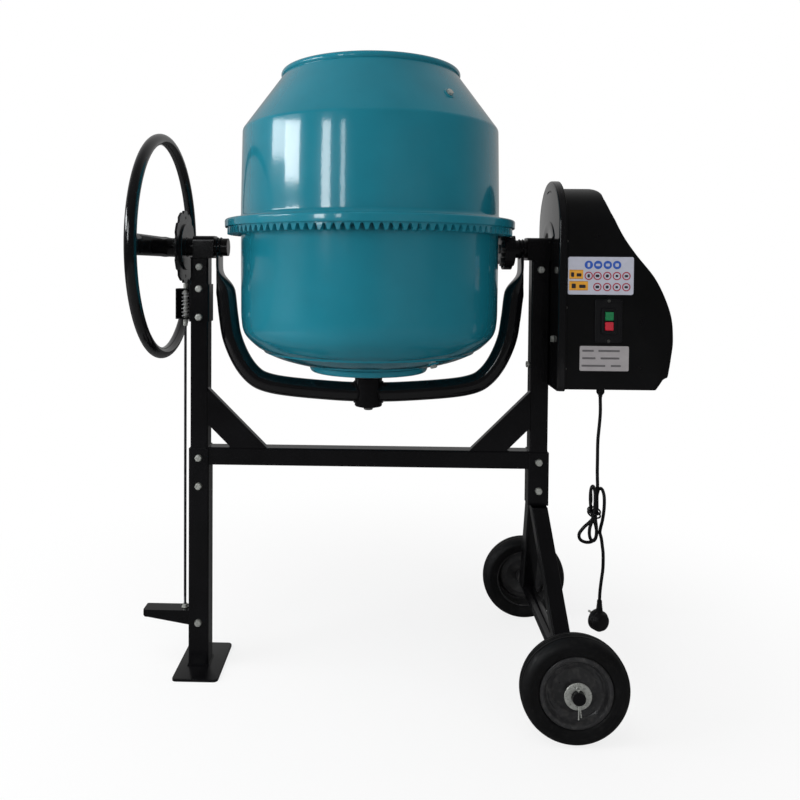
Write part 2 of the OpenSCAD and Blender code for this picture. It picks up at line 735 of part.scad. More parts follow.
module hand_wheel_bolt() color(zinc) at_tilt() translate([-473, 0, 0]) rotate([0, -90, 0]) {
    cylinder(r = 11, h = 2, $fn = 32);
    translate([0, 0, 2]) cylinder(r = 9.5, h = 6, $fn = 6);
    translate([0, 0, -24]) cylinder(r = 6, h = 24.5, $fn = 32);
}

// Cup around the pinion, open to the drum and to the ring gear
module pinion_guard() color(frame_black) at_tilt() difference() {
    union() {
        along_x(299) ring(46, 42.5, 18.5);
        along_x(314.5) ring(46, 12, 3);
        along_x(317.5) ring(38, 12, 5.5);
    }
    translate([290, -60, 24]) cube([29, 120, 30]);
    translate([290, -60, 29]) cube([50, 120, 30]);
}

// ---- Drum ----

module drum_bolt_places() for (a = blade_angles, b = blade_bolts) rotate([0, 0, a])
    translate([b[0], 0, b[1]]) rotate([0, 90 - b[2], 0]) children();

module lower_drum() color(drum_teal) at_tilt() difference() {
    rotate_extrude($fn = 180) polygon(ribbon(concat(
        [[40, -264]], curve(bowl_foot, 3), curve(bowl, 4), [[drum_r, flange_low], [304, flange_low]]
    ), drum_wall));
    drum_bolt_places() cylinder(r = 4.3, h = 30, center = true, $fn = 24);
}

module upper_drum() color(drum_teal) at_tilt() difference() {
    rotate_extrude($fn = 180) polygon(ribbon(concat(
        [[lip_r - 1, lip_low]],
        arc([lip_r - 5, lip_top - 5], 5, 0, 90, 5),
        arc([drum_r + 12, lip_top + 12], 12, 270, 180, 4),
        [[drum_r, 90]],
        arc([shoulder[0] - 14, shoulder[1] - 6], 14, 0, 35, 4),
        [cone_top],
        arc([mouth_r - 8, mouth_top - 8], 8, -20, 200, 8)
    ), drum_wall));
    drum_bolt_places() cylinder(r = 4.3, h = 30, center = true, $fn = 24);
}

// Crown gear under the lip, its teeth pointing down
module ring_gear() color(drum_teal) at_tilt() {
    difference() {
        translate([0, 0, gear_root]) cylinder(r = gear_r, h = lip_top - drum_wall - gear_root, $fn = 180);
        translate([0, 0, gear_root - 1]) cylinder(r = gear_bore_r, h = 60, $fn = 180);
        translate([0, 0, flange_low]) cylinder(r = 306, h = 60, $fn = 180);
    }
    for (i = [0:ring_teeth - 1]) rotate([0, 0, (i + 0.5) * 360 / ring_teeth])
        translate([gear_bore_r + 3, 0, 0]) rotate([90, 0, 90]) linear_extrude(gear_r - gear_bore_r - 3.5)
            polygon([[-5.6, gear_root + 1], [-2.5, gear_tip], [2.5, gear_tip], [5.6, gear_root + 1]]);
}

module bottom_disc() color(drum_teal) at_tilt() rotate_extrude($fn = 128) polygon([
    [12.6, disc_low], [44, disc_low], [60, disc_low + 1], [126, disc_low + 1], [133, disc_low + 5],
    [133, -262.6], [130.5, -262.6], [130.5, disc_low + 6], [125, disc_low + 3.5], [60, disc_low + 3.5],
    [44, -265], [12.6, -265]
]);

// Two fins bolted to the bowl and to the cone
module mixing_blades() color(drum_teal) at_tilt() {
    for (a = blade_angles) rotate([0, 0, a]) translate([0, 2.5, 0]) rotate([90, 0, 0]) linear_extrude(5)
        polygon([[166, -241], [246, -208], [268, -184], [277, -154], [279, 230], [262, 258],
            [221, 320], [208, 308], [222, 252], [214, 60], [206, -114], [150, -208]]);
    drum_bolt_places() translate([0, 0, -22]) cylinder(r = 9, h = 22 - drum_wall - 0.2, $fn = 32);
}

module drum_bolts() color(zinc) at_tilt() drum_bolt_places() {
    translate([0, 0, 0.8]) cylinder(r = 11, h = 1.5, $fn = 32);
    translate([0, 0, 2.3]) cylinder(r = 7.5, h = 5, $fn = 6);
    translate([0, 0, -drum_wall]) cylinder(r = 4, h = drum_wall + 1.5, $fn = 24);
}

// Shaft with its flange under the drum, and its nut below the hub
module drum_shaft() color(bright_steel) at_tilt() {
    translate([0, 0, disc_low - 5]) cylinder(r = 42, h = 5, $fn = 48);
    translate([0, 0, hub_low - 1]) cylinder(r = shaft_r, h = -hub_low + disc_low + 13, $fn = 64);
    translate([0, 0, hub_low - 3]) cylinder(r = 19, h = 2.4, $fn = 48);
    translate([0, 0, hub_low - 9]) cylinder(r = 10.5, h = 6.5, $fn = 6);
}

// ---- Drive ----

module drive_shaft() color(bright_steel) at_tilt() along_x(drive_shaft_x[0])
    cylinder(r = drive_shaft_r, h = drive_shaft_x[1] - drive_shaft_x[0], $fn = 64);

pinion_root_r = 25.5;
pinion_tip_r = 38.3;
module pinion() color(bright_steel) at_tilt() along_x(pinion_x[0]) difference() {
    linear_extrude(pinion_x[1] - pinion_x[0]) polygon([for (i = [0:pinion_teeth - 1])
        let (a = 180 + 360 * i / pinion_teeth)
        each [for (c = [[pinion_root_r, -9.5], [pinion_tip_r - 2, -3], [pinion_tip_r, -1.6],
            [pinion_tip_r, 1.6], [pinion_tip_r - 2, 3], [pinion_root_r, 9.5]])
            c[0] * [cos(a + c[1]), sin(a + c[1])]]]);
    translate([0, 0, -1]) cylinder(r = drive_shaft_r + 0.02, h = 40, $fn = 64);
}

module large_pulley() color([0.3, 0.31, 0.33]) at_tilt() along_x(belt_x[0]) difference() {
    union() {
        cylinder(r = pulley_r, h = belt_x[1] - belt_x[0], $fn = 128);
        translate([0, 0, -4]) cylinder(r = 20, h = belt_x[1] - belt_x[0] + 8, $fn = 48);
    }
    translate([0, 0, -10]) cylinder(r = drive_shaft_r + 0.02, h = 50, $fn = 64);
    for (z = [-1, 10]) translate([0, 0, z]) ring(pulley_r - 8, 28, 7);
    for (a = [0:60:300]) rotate([0, 0, a]) translate([66, 0, -1]) cylinder(r = 20, h = 30, $fn = 48);
}

// The motor's rotor with its shaft and small pulley
module motor_rotor() color(bright_steel) at_drum() translate([0, 0, motor_z]) {
    along_x(belt_x[0] - 4) cylinder(r = 7, h = motor_x[1] - 14 - belt_x[0] + 4, $fn = 32);
    along_x(belt_x[0]) cylinder(r = motor_pulley_r, h = belt_x[1] - belt_x[0], $fn = 48);
    along_x(motor_x[0] + 30) cylinder(r = 40, h = 80, $fn = 64);
}

// ---- Pedal and lock ----

// Folded channel on the leg's foot bolt, pressed down at its tip
module foot_pedal() color(frame_black) at_drum() difference() {
    union() {
        translate([-510, -18, 125]) cube([126, 36, 3]);
        for (y = [-18, 15]) translate([0, y + 3, 0]) rotate([90, 0, 0]) linear_extrude(3)
            polygon([[-510, 113], [-404, 95], [-372, 95], [-368, 103], [-372, 114], [-384, 128],
                [-510, 128]]);
    }
    translate([-upright_reach, -60, pedal_pivot_z]) rotate([-90, 0, 0])
        cylinder(r = bolt_r + running_gap, h = 120, $fn = 48);
    // slot that lets the rod stay upright while the pedal turns
    hull() for (x = [rod_x, rod_x + 7.5]) translate([x, 0, 100]) cylinder(r = 4.5, h = 60, $fn = 24);
}

// Lock pin, eye and pull rod with its nut on the pedal
module pull_rod() color(zinc) at_drum() translate([rod_x, 0, 0]) {
    translate([0, 0, 776]) cylinder(r = 5, h = tilt_z - disc_r - 1 - 776, $fn = 32);
    translate([0, 0, 851]) cylinder(r = 9, h = 3, $fn = 32);
    translate([0, 0, 112]) cylinder(r = 3, h = 665, $fn = 24);
    translate([0, 0, 128.6]) cylinder(r = 8, h = 1.6, $fn = 32);
    translate([0, 0, 130.1]) cylinder(r = 6.5, h = 6, $fn = 6);
}

spring_r = 8;
spring_wire_r = 1.3;
spring_turns = 7;
spring_low = cage_z[0] + 1.5;
spring_high = 849.5;
module lock_spring() color(bright_steel) at_drum() translate([rod_x, 0, 0]) {
    steps = 10 * spring_turns;
    rise = (spring_high - spring_low) / steps;
    sweep([for (i = [0:steps]) let (a = 360 * i / 10)
        [for (j = [0:5]) let (b = 360 * j / 6, r = spring_r + spring_wire_r * cos(b))
            [r * cos(a), r * sin(a), spring_low + rise * i + spring_wire_r * sin(b)]]]);
}

left_upright();
right_upright();
crossbar();
left_gusset();
right_gusset();
left_leg();
foot_plate();
stand_sleeve();
front_stand_leg();
rear_stand_leg();
axle_tube();
axle();
left_bearing_housing();
right_bearing_housing();
frame_bolts();
spring_bracket();
casing_back();
casing_cover();
casing_screws();
motor();
motor_bracket();
drive_belt();
switch_plate();
casing_labels();
cable_gland();
power_cord();
cord_hank();
cord_tail();
plug();
wheel_washers();
cotter_pins();
yoke_tube();
hub_tube();
yoke_bearings();
left_pivot_tube();
right_pivot_tube();
lock_disc();
hand_wheel();
hand_wheel_bolt();
pinion_guard();
lower_drum();
upper_drum();
ring_gear();
bottom_disc();
mixing_blades();
drum_bolts();
drum_shaft();
drive_shaft();
pinion();
large_pulley();
motor_rotor();
front_tyre();
front_rim();
rear_tyre();
rear_rim();
foot_pedal();
pull_rod();
lock_spring();
start_button();
stop_button();
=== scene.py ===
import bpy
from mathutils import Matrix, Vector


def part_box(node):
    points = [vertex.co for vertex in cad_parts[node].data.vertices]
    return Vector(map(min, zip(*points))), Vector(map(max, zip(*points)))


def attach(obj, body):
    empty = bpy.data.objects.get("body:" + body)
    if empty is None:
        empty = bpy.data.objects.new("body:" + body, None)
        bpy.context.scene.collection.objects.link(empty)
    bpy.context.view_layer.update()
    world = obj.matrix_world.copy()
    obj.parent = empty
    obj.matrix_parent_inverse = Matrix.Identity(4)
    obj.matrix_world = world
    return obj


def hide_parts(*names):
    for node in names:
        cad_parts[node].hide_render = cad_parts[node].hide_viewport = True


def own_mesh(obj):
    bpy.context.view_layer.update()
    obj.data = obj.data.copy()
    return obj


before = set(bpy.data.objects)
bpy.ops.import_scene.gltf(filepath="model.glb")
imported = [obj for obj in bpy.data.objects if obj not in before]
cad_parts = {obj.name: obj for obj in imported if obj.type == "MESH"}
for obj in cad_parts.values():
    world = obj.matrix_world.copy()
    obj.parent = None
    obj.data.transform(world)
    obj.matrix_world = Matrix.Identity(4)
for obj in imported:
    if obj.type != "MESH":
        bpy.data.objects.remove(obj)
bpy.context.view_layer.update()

import math
import random

import bmesh
import bpy
from mathutils import Matrix, Vector

MM = 0.001


def centre(node):
    low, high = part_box(node)
    return (low + high) / 2


DRUM_X = centre("hub_tube").x
TILT_Z = centre("left_pivot_tube").z


def place(u, y, z):
    """A point given in mm from the drum's axis, in the row frame."""
    return Vector((DRUM_X + u * MM, y * MM, z * MM))


# ---- Camera ----

CAMERA_X, CAMERA_BACK, CAMERA_UP = 0.0286, 1.7169, 0.9143
YAW, PITCH, ROLL = -0.025, 0.0253, 0.0073
SENSOR_MM, LENS_MM = 36, 34.17525
SHIFT_X, SHIFT_Y = 0.046375, -0.14325


def make_camera():
    forward = Vector((math.sin(YAW) * math.cos(PITCH), math.cos(YAW) * math.cos(PITCH), -math.sin(PITCH)))
    right = Vector((math.cos(YAW), -math.sin(YAW), 0))
    up = right.cross(forward)
    turned_right = math.cos(ROLL) * right + math.sin(ROLL) * up
    turned_up = -math.sin(ROLL) * right + math.cos(ROLL) * up
    data = bpy.data.cameras.new("camera")
    data.sensor_width = SENSOR_MM
    data.lens = LENS_MM
    data.shift_x, data.shift_y = SHIFT_X, SHIFT_Y
    camera = bpy.data.objects.new("camera", data)
    bpy.context.scene.collection.objects.link(camera)
    turn = Matrix((turned_right, turned_up, -forward)).transposed().to_4x4()
    camera.matrix_world = Matrix.Translation((DRUM_X + CAMERA_X, -CAMERA_BACK, CAMERA_UP)) @ turn
    bpy.context.scene.camera = camera


make_camera()

# ---- Materials ----


def shade(colour, factor):
    return tuple(min(1, c * factor) for c in colour) + (1,)


class Tree:
    """A cleared node tree. Each input is set to a value, or joined to a socket."""

    def __init__(self, owner):
        owner.use_nodes = True
        self.nodes, self.links = owner.node_tree.nodes, owner.node_tree.links
        self.nodes.clear()

    def add(self, kind, inputs=(), **settings):
        node = self.nodes.new("ShaderNode" + kind)
        for key, value in settings.items():
            setattr(node, key, value)
        for key, value in dict(inputs).items():
            if isinstance(value, bpy.types.NodeSocket):
                self.links.new(value, node.inputs[key])
            else:
                node.inputs[key].default_value = value
        return node


def make_material(
    name,
    colour,
    rough=0.4,
    metal=0.0,
    coat=0.0,
    coat_rough=0.04,
    vary=0.08,
    vary_scale=14,
    rough_vary=0.06,
    grain=0.0,
    grain_scale=900,
    stretch=(1, 1, 1),
    ripple=0.0,
    ripple_scale=16,
    dust=0.0,
    dust_colour=(0.35, 0.33, 0.3),
    specular=0.5,
):
    """Colour drift, uneven roughness, fine grain and slow ripples, from noise in the object's own space."""
    mat = bpy.data.materials.new(name)
    tree = Tree(mat)
    coords = tree.add("TexCoord").outputs["Object"]
    space = tree.add("Mapping", {"Vector": coords, "Scale": stretch}).outputs[0]

    def noise(scale, detail=3):
        return tree.add("TexNoise", {"Vector": space, "Scale": scale, "Detail": detail}).outputs["Fac"]

    ramp = tree.add("ValToRGB", {"Fac": noise(vary_scale)})
    for stop, position, factor in zip(ramp.color_ramp.elements, (0.3, 0.7), (1 - vary, 1 + vary)):
        stop.position, stop.color = position, shade(colour, factor)
    colour_out = ramp.outputs["Color"]
    if dust:
        spots = {"Value": noise(vary_scale * 3, 6), "From Min": 0.5, "From Max": 0.8, "To Max": dust}
        share = tree.add("MapRange", spots).outputs[0]
        mix = tree.add("Mix", {"Factor": share, "A": colour_out, "B": (*dust_colour, 1)}, data_type="RGBA")
        colour_out = mix.outputs["Result"]
    smear = {"To Min": max(0.02, rough - rough_vary), "To Max": rough + rough_vary}
    smear["Value"] = noise(vary_scale * 2.3)
    sockets = {
        "Base Color": colour_out, "Roughness": tree.add("MapRange", smear).outputs[0], "Metallic": metal,
        "Coat Weight": coat, "Coat Roughness": coat_rough, "Specular IOR Level": specular,
    }
    normal = None
    for strength, scale, distance in ((ripple, ripple_scale, 0.004), (grain, grain_scale, 0.0003)):
        if strength:
            bump = {"Strength": strength, "Distance": distance, "Height": noise(scale, 2)}
            if normal:
                bump["Normal"] = normal
            normal = tree.add("Bump", bump).outputs[0]
    if normal:
        sockets.update({"Normal": normal, "Coat Normal": normal})
    tree.add("OutputMaterial", {"Surface": tree.add("BsdfPrincipled", sockets).outputs[0]})
    return mat


TEAL = make_material(
    "drum_enamel", (0.008, 0.150, 0.205), rough=0.2, coat=1, coat_rough=0.012, vary=0.04, ripple=0.05,
    ripple_scale=9, grain=0.2, grain_scale=260, specular=0.35,
)
BLACK = make_material(
    "frame_powder_coat", (0.0022, 0.0021, 0.0026), rough=0.22, coat=0.15, coat_rough=0.08, vary=0.3,
    grain=0.1, grain_scale=650, ripple=0.05, ripple_scale=22, specular=0.3,
)
GLOSS_BLACK = make_material(
    "gloss_black_enamel", (0.002, 0.002, 0.0025), rough=0.14, coat=0.7, coat_rough=0.03, vary=0.25,
    ripple=0.05, ripple_scale=18,
)
DISC_BLACK = make_material(
    "cut_plate", (0.004, 0.004, 0.0045), rough=0.3, coat=0.3, vary=0.3, vary_scale=30, grain=0.3,
    grain_scale=300,
)
ZINC = make_material(
    "zinc_plate", (0.47, 0.48, 0.45), rough=0.3, metal=0.6, vary=0.18, vary_scale=160, rough_vary=0.12,
    grain=0.15, grain_scale=1500,
)
DARK_ZINC = make_material(
    "dull_screw_zinc", (0.16, 0.16, 0.15), rough=0.4, metal=0.8, vary=0.2, vary_scale=160, rough_vary=0.12,
    grain=0.2, grain_scale=1500,
)
SPRING = make_material(
    "spring_wire", (0.6, 0.6, 0.61), rough=0.34, metal=0.6, vary=0.2, vary_scale=120, grain=0.15,
    grain_scale=1200,
)
STEEL = make_material(
    "turned_steel", (0.4, 0.4, 0.4), rough=0.32, metal=1, vary=0.15, vary_scale=60, rough_vary=0.12,
    grain=0.2, grain_scale=700, stretch=(1, 1, 8),
)
ROD_WIRE = make_material(
    "pull_wire", (0.16, 0.16, 0.17), rough=0.36, metal=1, vary=0.3, vary_scale=90, rough_vary=0.15, grain=0.2,
    grain_scale=900,
)
ALUMINIUM = make_material(
    "cast_aluminium", (0.42, 0.43, 0.44), rough=0.5, metal=1, vary=0.12, vary_scale=50, grain=0.4,
    grain_scale=600,
)
CASING = make_material(
    "moulded_casing", (0.0017, 0.0017, 0.002), rough=0.3, coat=0.1, coat_rough=0.15, vary=0.25, grain=0.2,
    grain_scale=1100, ripple=0.04, ripple_scale=12, specular=0.4,
)
SWITCH = make_material(
    "switch_plastic", (0.0045, 0.0045, 0.0055), rough=0.42, vary=0.15, grain=0.35, grain_scale=1800,
    specular=0.45,
)
CORD = make_material(
    "cord_rubber", (0.003, 0.003, 0.0035), rough=0.42, vary=0.25, vary_scale=60, grain=0.3, grain_scale=1500,
    specular=0.4,
)
TYRE = make_material(
    "tyre_rubber", (0.0022, 0.0022, 0.0026), rough=0.5, vary=0.3, vary_scale=30, rough_vary=0.12, grain=0.4,
    grain_scale=900, dust=0.012, specular=0.4,
)
RIM = make_material(
    "rim_enamel", (0.02, 0.02, 0.021), rough=0.3, coat=0.25, vary=0.15, vary_scale=40, grain=0.2,
    grain_scale=700, dust=0.08,
)
FILM = make_material(
    "label_film", (0.4, 0.41, 0.48), rough=0.3, vary=0.05, vary_scale=60, grain=0.08, coat=0.2,
)
PLATE_FILM = make_material(
    "rating_film", (0.28, 0.265, 0.27), rough=0.35, vary=0.06, vary_scale=60, grain=0.1,
)
BLUE, RED, AMBER = (
    make_material("ink_" + name, colour, rough=0.35, vary=0.08, vary_scale=90)
    for name, colour in (
        ("blue", (0.01, 0.07, 0.36)), ("red", (0.3, 0.013, 0.035)), ("amber", (0.62, 0.28, 0.015)),
    )
)
INK = make_material("ink_black", (0.02, 0.018, 0.022), rough=0.4, vary=0.1, vary_scale=90)
GREY_INK = make_material("ink_grey", (0.09, 0.085, 0.09), rough=0.4, vary=0.2, vary_scale=400)
GREEN_BUTTON, RED_BUTTON = (
    make_material(name, colour, rough=0.3, coat=0.3, vary=0.08, vary_scale=120, grain=0.1)
    for name, colour in (("green_button", (0.006, 0.15, 0.05)), ("red_button", (0.42, 0.01, 0.025)))
)

# ---- Mesh helpers ----


def add_object(name, verts, faces, mat, body, slot=None, replaces=(), angle=35):
    mesh = bpy.data.meshes.new(name)
    mesh.from_pydata([tuple(v) for v in verts], [], faces)
    mesh.validate()
    bm = bmesh.new()
    bm.from_mesh(mesh)
    bmesh.ops.remove_doubles(bm, verts=bm.verts, dist=1e-6)
    bmesh.ops.recalc_face_normals(bm, faces=bm.faces)
    bm.to_mesh(mesh)
    bm.free()
    mesh.polygons.foreach_set("use_smooth", [True] * len(mesh.polygons))
    mesh.set_sharp_from_angle(angle=math.radians(angle))
    mesh.materials.append(mat)
    obj = bpy.data.objects.new(name, mesh)
    bpy.context.scene.collection.objects.link(obj)
    if body:
        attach(obj, body)
    if replaces:
        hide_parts(*replaces)
    return obj


class Build:
    """Gathers several shapes into one mesh."""

    def __init__(self):
        self.verts, self.faces = [], []

    def add(self, verts, faces, matrix=None):
        base = len(self.verts)
        self.verts += [matrix @ Vector(v) if matrix else Vector(v) for v in verts]
        self.faces += [[i + base for i in f] for f in faces]
        return self

    def make(self, name, mat, body, **more):
        return add_object(name, self.verts, self.faces, mat, body, **more)


def grid_faces(rows, cols, wrap_cols=True, wrap_rows=False):
    """Faces between rings of points: rows rings with cols points in each."""
    faces = []
    for i in range(rows if wrap_rows else rows - 1):
        for j in range(cols if wrap_cols else cols - 1):
            a, b = i * cols, ((i + 1) % rows) * cols
            k = (j + 1) % cols
            faces.append([a + j, a + k, b + k, b + j])
    return faces


def capped_faces(rows, cols):
    """A grid of rings with a face over the first ring and one over the last."""
    first = list(range(cols))
    return grid_faces(rows, cols) + [first[::-1], [(rows - 1) * cols + j for j in first]]


def circle_at(cx, cy, r, steps):
    angles = [2 * math.pi * j / steps for j in range(steps)]
    return [(cx + r * math.cos(a), cy + r * math.sin(a)) for a in angles]


def arc(cx, cy, r, start, end, steps):
    angles = [math.radians(start + (end - start) * k / steps) for k in range(steps + 1)]
    return [(cx + r * math.cos(a), cy + r * math.sin(a)) for a in angles]


def flat(points):
    return [(p[0], p[1]) for p in points]


def scale_mm(points):
    return [(x * MM, y * MM) for x, y in points]


def scaled(profile):
    """A lathe profile from mm to metres, kept off the axis."""
    return [(max(r, 0.01) * MM, z * MM) for r, z in profile]


def lift(z):
    return Matrix.Translation((0, 0, z * MM))


def turn_z(degrees):
    return Matrix.Rotation(math.radians(degrees), 4, "Z")


FLIP = Matrix.Rotation(math.pi, 4, "X")
UPRIGHT = Matrix.Rotation(math.pi / 2, 4, "X")


def lathe(profile, steps=96, closed=False):
    """Revolves (radius, height) points about Z. A closed profile joins its last point to its first."""
    verts = [(x, y, z) for r, z in profile for x, y in circle_at(0, 0, r, steps)]
    return verts, grid_faces(len(profile), steps, True, closed)


def turned(profile, steps=64, closed=False):
    return lathe(scaled(profile), steps, closed)


def catmull(points, steps, closed=False):
    pts = [Vector(p) for p in points]
    n = len(pts)
    out = []
    for i in range(n if closed else n - 1):
        if closed:
            a, b, c, d = pts[i - 1], pts[i], pts[(i + 1) % n], pts[(i + 2) % n]
        else:
            a, b, c, d = pts[max(i - 1, 0)], pts[i], pts[i + 1], pts[min(i + 2, n - 1)]
        for t in (k / steps for k in range(steps)):
            bend, twist = 2 * a - 5 * b + 4 * c - d, 3 * b - a - 3 * c + d
            out.append(0.5 * (2 * b + (c - a) * t + bend * t * t + twist * t**3))
    if not closed:
        out.append(pts[-1])
    return out


def tube(points, radius, sides=12, closed=False, caps=True):
    """A round tube along points, turned as little as possible from ring to ring."""
    pts = [Vector(p) for p in points]
    n = len(pts)
    verts, normal = [], None
    for i in range(n):
        if closed:
            tangent = (pts[(i + 1) % n] - pts[i - 1]).normalized()
        else:
            tangent = (pts[min(i + 1, n - 1)] - pts[max(i - 1, 0)]).normalized()
        if normal is None:
            normal = tangent.orthogonal().normalized()
        normal = (normal - tangent * normal.dot(tangent)).normalized()
        side = tangent.cross(normal)
        r = radius(i / (n - 1)) if callable(radius) else radius
        verts += [pts[i] + x * normal + y * side for x, y in circle_at(0, 0, r, sides)]
    return verts, capped_faces(n, sides) if caps and not closed else grid_faces(n, sides, True, closed)


def hexagon_head(flats, height, sides=48):
    """A hexagon head with its top corners chamfered, its base at Z = 0."""
    inner = flats / 2 * 0.94
    rings = [[], [], [], []]
    for j in range(sides):
        a = 2 * math.pi * (j + 0.5) / sides
        r = flats / 2 / math.cos(a % (math.pi / 3) - math.pi / 6)
        levels = (r, 0), (r, height - (r - inner) * 0.5), (inner, height), (inner * 0.6, height * 0.97)
        for ring, (reach, z) in zip(rings, levels):
            ring.append((reach * math.cos(a), reach * math.sin(a), z))
    return [v for ring in rings for v in ring], capped_faces(4, sides)


def washer(outer, inner, height, sides=40):
    e = height * 0.25
    rim = [(outer - e, 0), (outer, e), (outer, height - e), (outer - e, height)]
    return lathe([(inner, 0)] + rim + [(inner, height)], sides, True)


def rod(radius, length, sides=24, chamfer=0.0006):
    """A rod from Z = 0 up, its top edge chamfered."""
    profile = [(1e-5, 0), (radius, 0), (radius, length - chamfer), (radius - chamfer, length), (1e-5, length)]
    return lathe(profile, sides)


def facing(origin, direction, spin=0.0):
    """A frame at origin whose Z runs along direction."""
    turn = Vector(direction).to_track_quat("Z", "Y").to_matrix().to_4x4()
    return Matrix.Translation(origin) @ turn @ Matrix.Rotation(spin, 4, "Z")


def bevelled_prism(outline, depth, bevel, segments=3):
    """An outline in XY pulled up along Z, with its top edge rounded inward."""
    n = len(outline)
    pts = [Vector((x, y)) for x, y in outline]
    sides = []
    for i in range(n):
        a, b = (pts[i] - pts[i - 1]).normalized(), (pts[(i + 1) % n] - pts[i]).normalized()
        na, nb = Vector((a.y, -a.x)), Vector((b.y, -b.x))
        m = (na + nb).normalized()
        sides.append(m / max(0.4, m.dot(na)))
    rows = [(0.0, 0.0)] + arc(bevel, depth - bevel, bevel, 180, 90, segments)
    verts = [(*(pts[i] - sides[i] * inset), z) for inset, z in rows for i in range(n)]
    return verts, capped_faces(len(rows), n)


def round_rectangle(w, h, r, steps=6):
    x, y = w / 2 - r, h / 2 - r
    corners = (x, y, 0), (-x, y, 90), (-x, -y, 180), (x, -y, 270)
    return [p for cx, cy, start in corners for p in arc(cx, cy, r, start, start + 90, steps)]


def weld_path(points, radius, closed=False, seed=1):
    """A weld bead: a lumpy tube along points."""
    rng = random.Random(seed)
    phase = rng.random() * 6
    return tube(points, lambda t: radius * (1 + 0.13 * math.sin(phase + 70 * t)), 8, closed, not closed)


# ---- Cord: one continuous line, with the CAD's own points on its free stretches ----

CORD_D = 0.007
CORD_Y = -78
CORD_TOP = [
    (500, 637), (500, 630), (500.5, 616), (500.5, 601), (499.5, 584), (498, 566), (496.5, 548), (496, 530),
    (496, 512), (496, 494), (496, 476), (496.5, 459), (497, 444),
]
HANK = [
    (495.5, -80, 428), (494.5, -84, 412), (493.5, -88, 398), (490, -91, 385), (479, -91, 371),
    (466, -90, 358), (457, -87, 343), (459.5, -83, 330), (470, -79, 322.5), (483, -76, 321),
    (494, -73, 326), (499, -70, 337), (498, -68, 350), (494.5, -66, 364), (490.5, -64, 378),
    (488, -62, 392), (487, -60.5, 406), (487, -60, 420), (487.5, -62.5, 432), (488, -69, 440),
    (488, -78, 443), (488, -87, 440), (487.5, -94, 432), (487, -97, 420), (486.5, -98, 408),
    (485.5, -98, 396), (483.5, -97, 384), (480.5, -95, 370), (477.5, -93, 357), (477.5, -91, 343),
    (481, -89, 332), (487.5, -87, 328), (492.5, -86, 334), (494, -86, 346), (494, -84, 358),
    (493.5, -80, 370), (494, -76, 382), (496, -70, 393), (499, -64, 403), (500.5, -61.5, 412),
    (501.5, -61, 421), (502.3, -65, 431), (503.5, -71, 436.5), (505, -78, 438.5), (506.3, -85, 436),
    (507, -91.5, 429), (507, -95, 419), (507, -95, 407), (506.5, -94, 394), (505.8, -91, 380),
    (505, -87, 368), (504, -82, 356),
]
CORD_LOW = [
    (503.5, 344), (505, 337), (507, 329), (509, 315), (511, 299), (511.5, 280), (511, 262), (509, 245),
    (507, 228), (505.5, 211), (505, 195),
]
top, low = ([place(u, CORD_Y, z) for u, z in points] for points in (CORD_TOP, CORD_LOW))
route = catmull(top + [place(*p) for p in HANK] + low, 4)
curve = bpy.data.curves.new("mains_cord", "CURVE")
curve.dimensions = "3D"
curve.bevel_depth = CORD_D / 2
curve.bevel_resolution = 5
curve.use_fill_caps = True
spline = curve.splines.new("POLY")
spline.points.add(len(route) - 1)
for point, at in zip(spline.points, route):
    point.co = (*at, 1)
curve.materials.append(CORD)
cord = bpy.data.objects.new("mains_cord", curve)
bpy.context.scene.collection.objects.link(cord)
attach(cord, "frame")
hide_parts("power_cord", "cord_hank", "cord_tail")


def make_tie():
    b = Build()
    for k, z in enumerate((384, 390.5)):
        loop = []
        for a in (2 * math.pi * j / 36 for j in range(36)):
            loop.append(place(490 + 11.5 * math.cos(a), -79 + 24 * math.sin(a), z + 1.5 * math.sin(a + k)))
        b.add(*tube(loop, 0.0019, 10, closed=True))
    end = [(480, -84, 392), (479.6, -88, 402), (481.5, -89, 414), (481.5, -88.5, 428), (480.5, -88, 443)]
    b.add(*tube(catmull([place(*p) for p in end], 5), 0.0021, 10))
    return b.make("hank_tie", CORD, "frame", slot="cord_rubber")


tie = make_tie()


def make_plug():
    """Angled plug: ribbed strain relief into a round body with a grip flat and two pins."""
    body = Matrix.Translation(place(505, CORD_Y, 150))
    b = Build()
    across = body @ turn_z(30) @ Matrix.Rotation(math.radians(-90), 4, "X")
    profile = [
        (0, -13), (14.5, -13), (16.8, -12.2), (18, -10.5), (20.6, -6.5), (21.6, -5), (21.9, -3), (21.9, -1),
        (21.2, -0.2), (21.2, 0.6), (21.9, 1.4), (21.9, 10), (21.2, 12), (19.5, 12.9), (0, 12.9),
    ]
    b.add(*turned(profile), across)
    for x, y in circle_at(0, 0, 21.3 * MM, 24):
        b.add(*tube([(x, y, z * MM) for z in (2.4, 5.5, 9)], 0.0007, 6), across)
    ribs = [(8.4 - 3.4 * k / 14 - (0.8 if k % 2 and 2 < k < 13 else 0), 14 + 31 * k / 14) for k in range(15)]
    b.add(*turned([(0, 14)] + ribs + [(3.6, 45), (0, 45)], 40), body)
    made = b.make("plug_body", CORD, "frame", slot="cord_rubber", replaces=["plug"], angle=50)
    pins = Build()
    for side in (-9.5, 9.5):
        pin = [(0, 11), (2.4, 11), (2.4, 29.8), (1.9, 31.4), (0.8, 31.9), (0, 31.9)]
        pins.add(*turned(pin, 24), across @ Matrix.Translation((0, side * MM, 0)))
    return made, pins.make("plug_pins", ZINC, "frame", slot="zinc")


plug_body, plug_pins = make_plug()

# ---- Fasteners ----

LEFT_X = -382
RIGHT_X = 382
HEX_FLATS, HEAD, NUT = 13 * MM, 5.3 * MM, 6.5 * MM
WASHER = 8.5 * MM, 4.2 * MM, 1.6 * MM


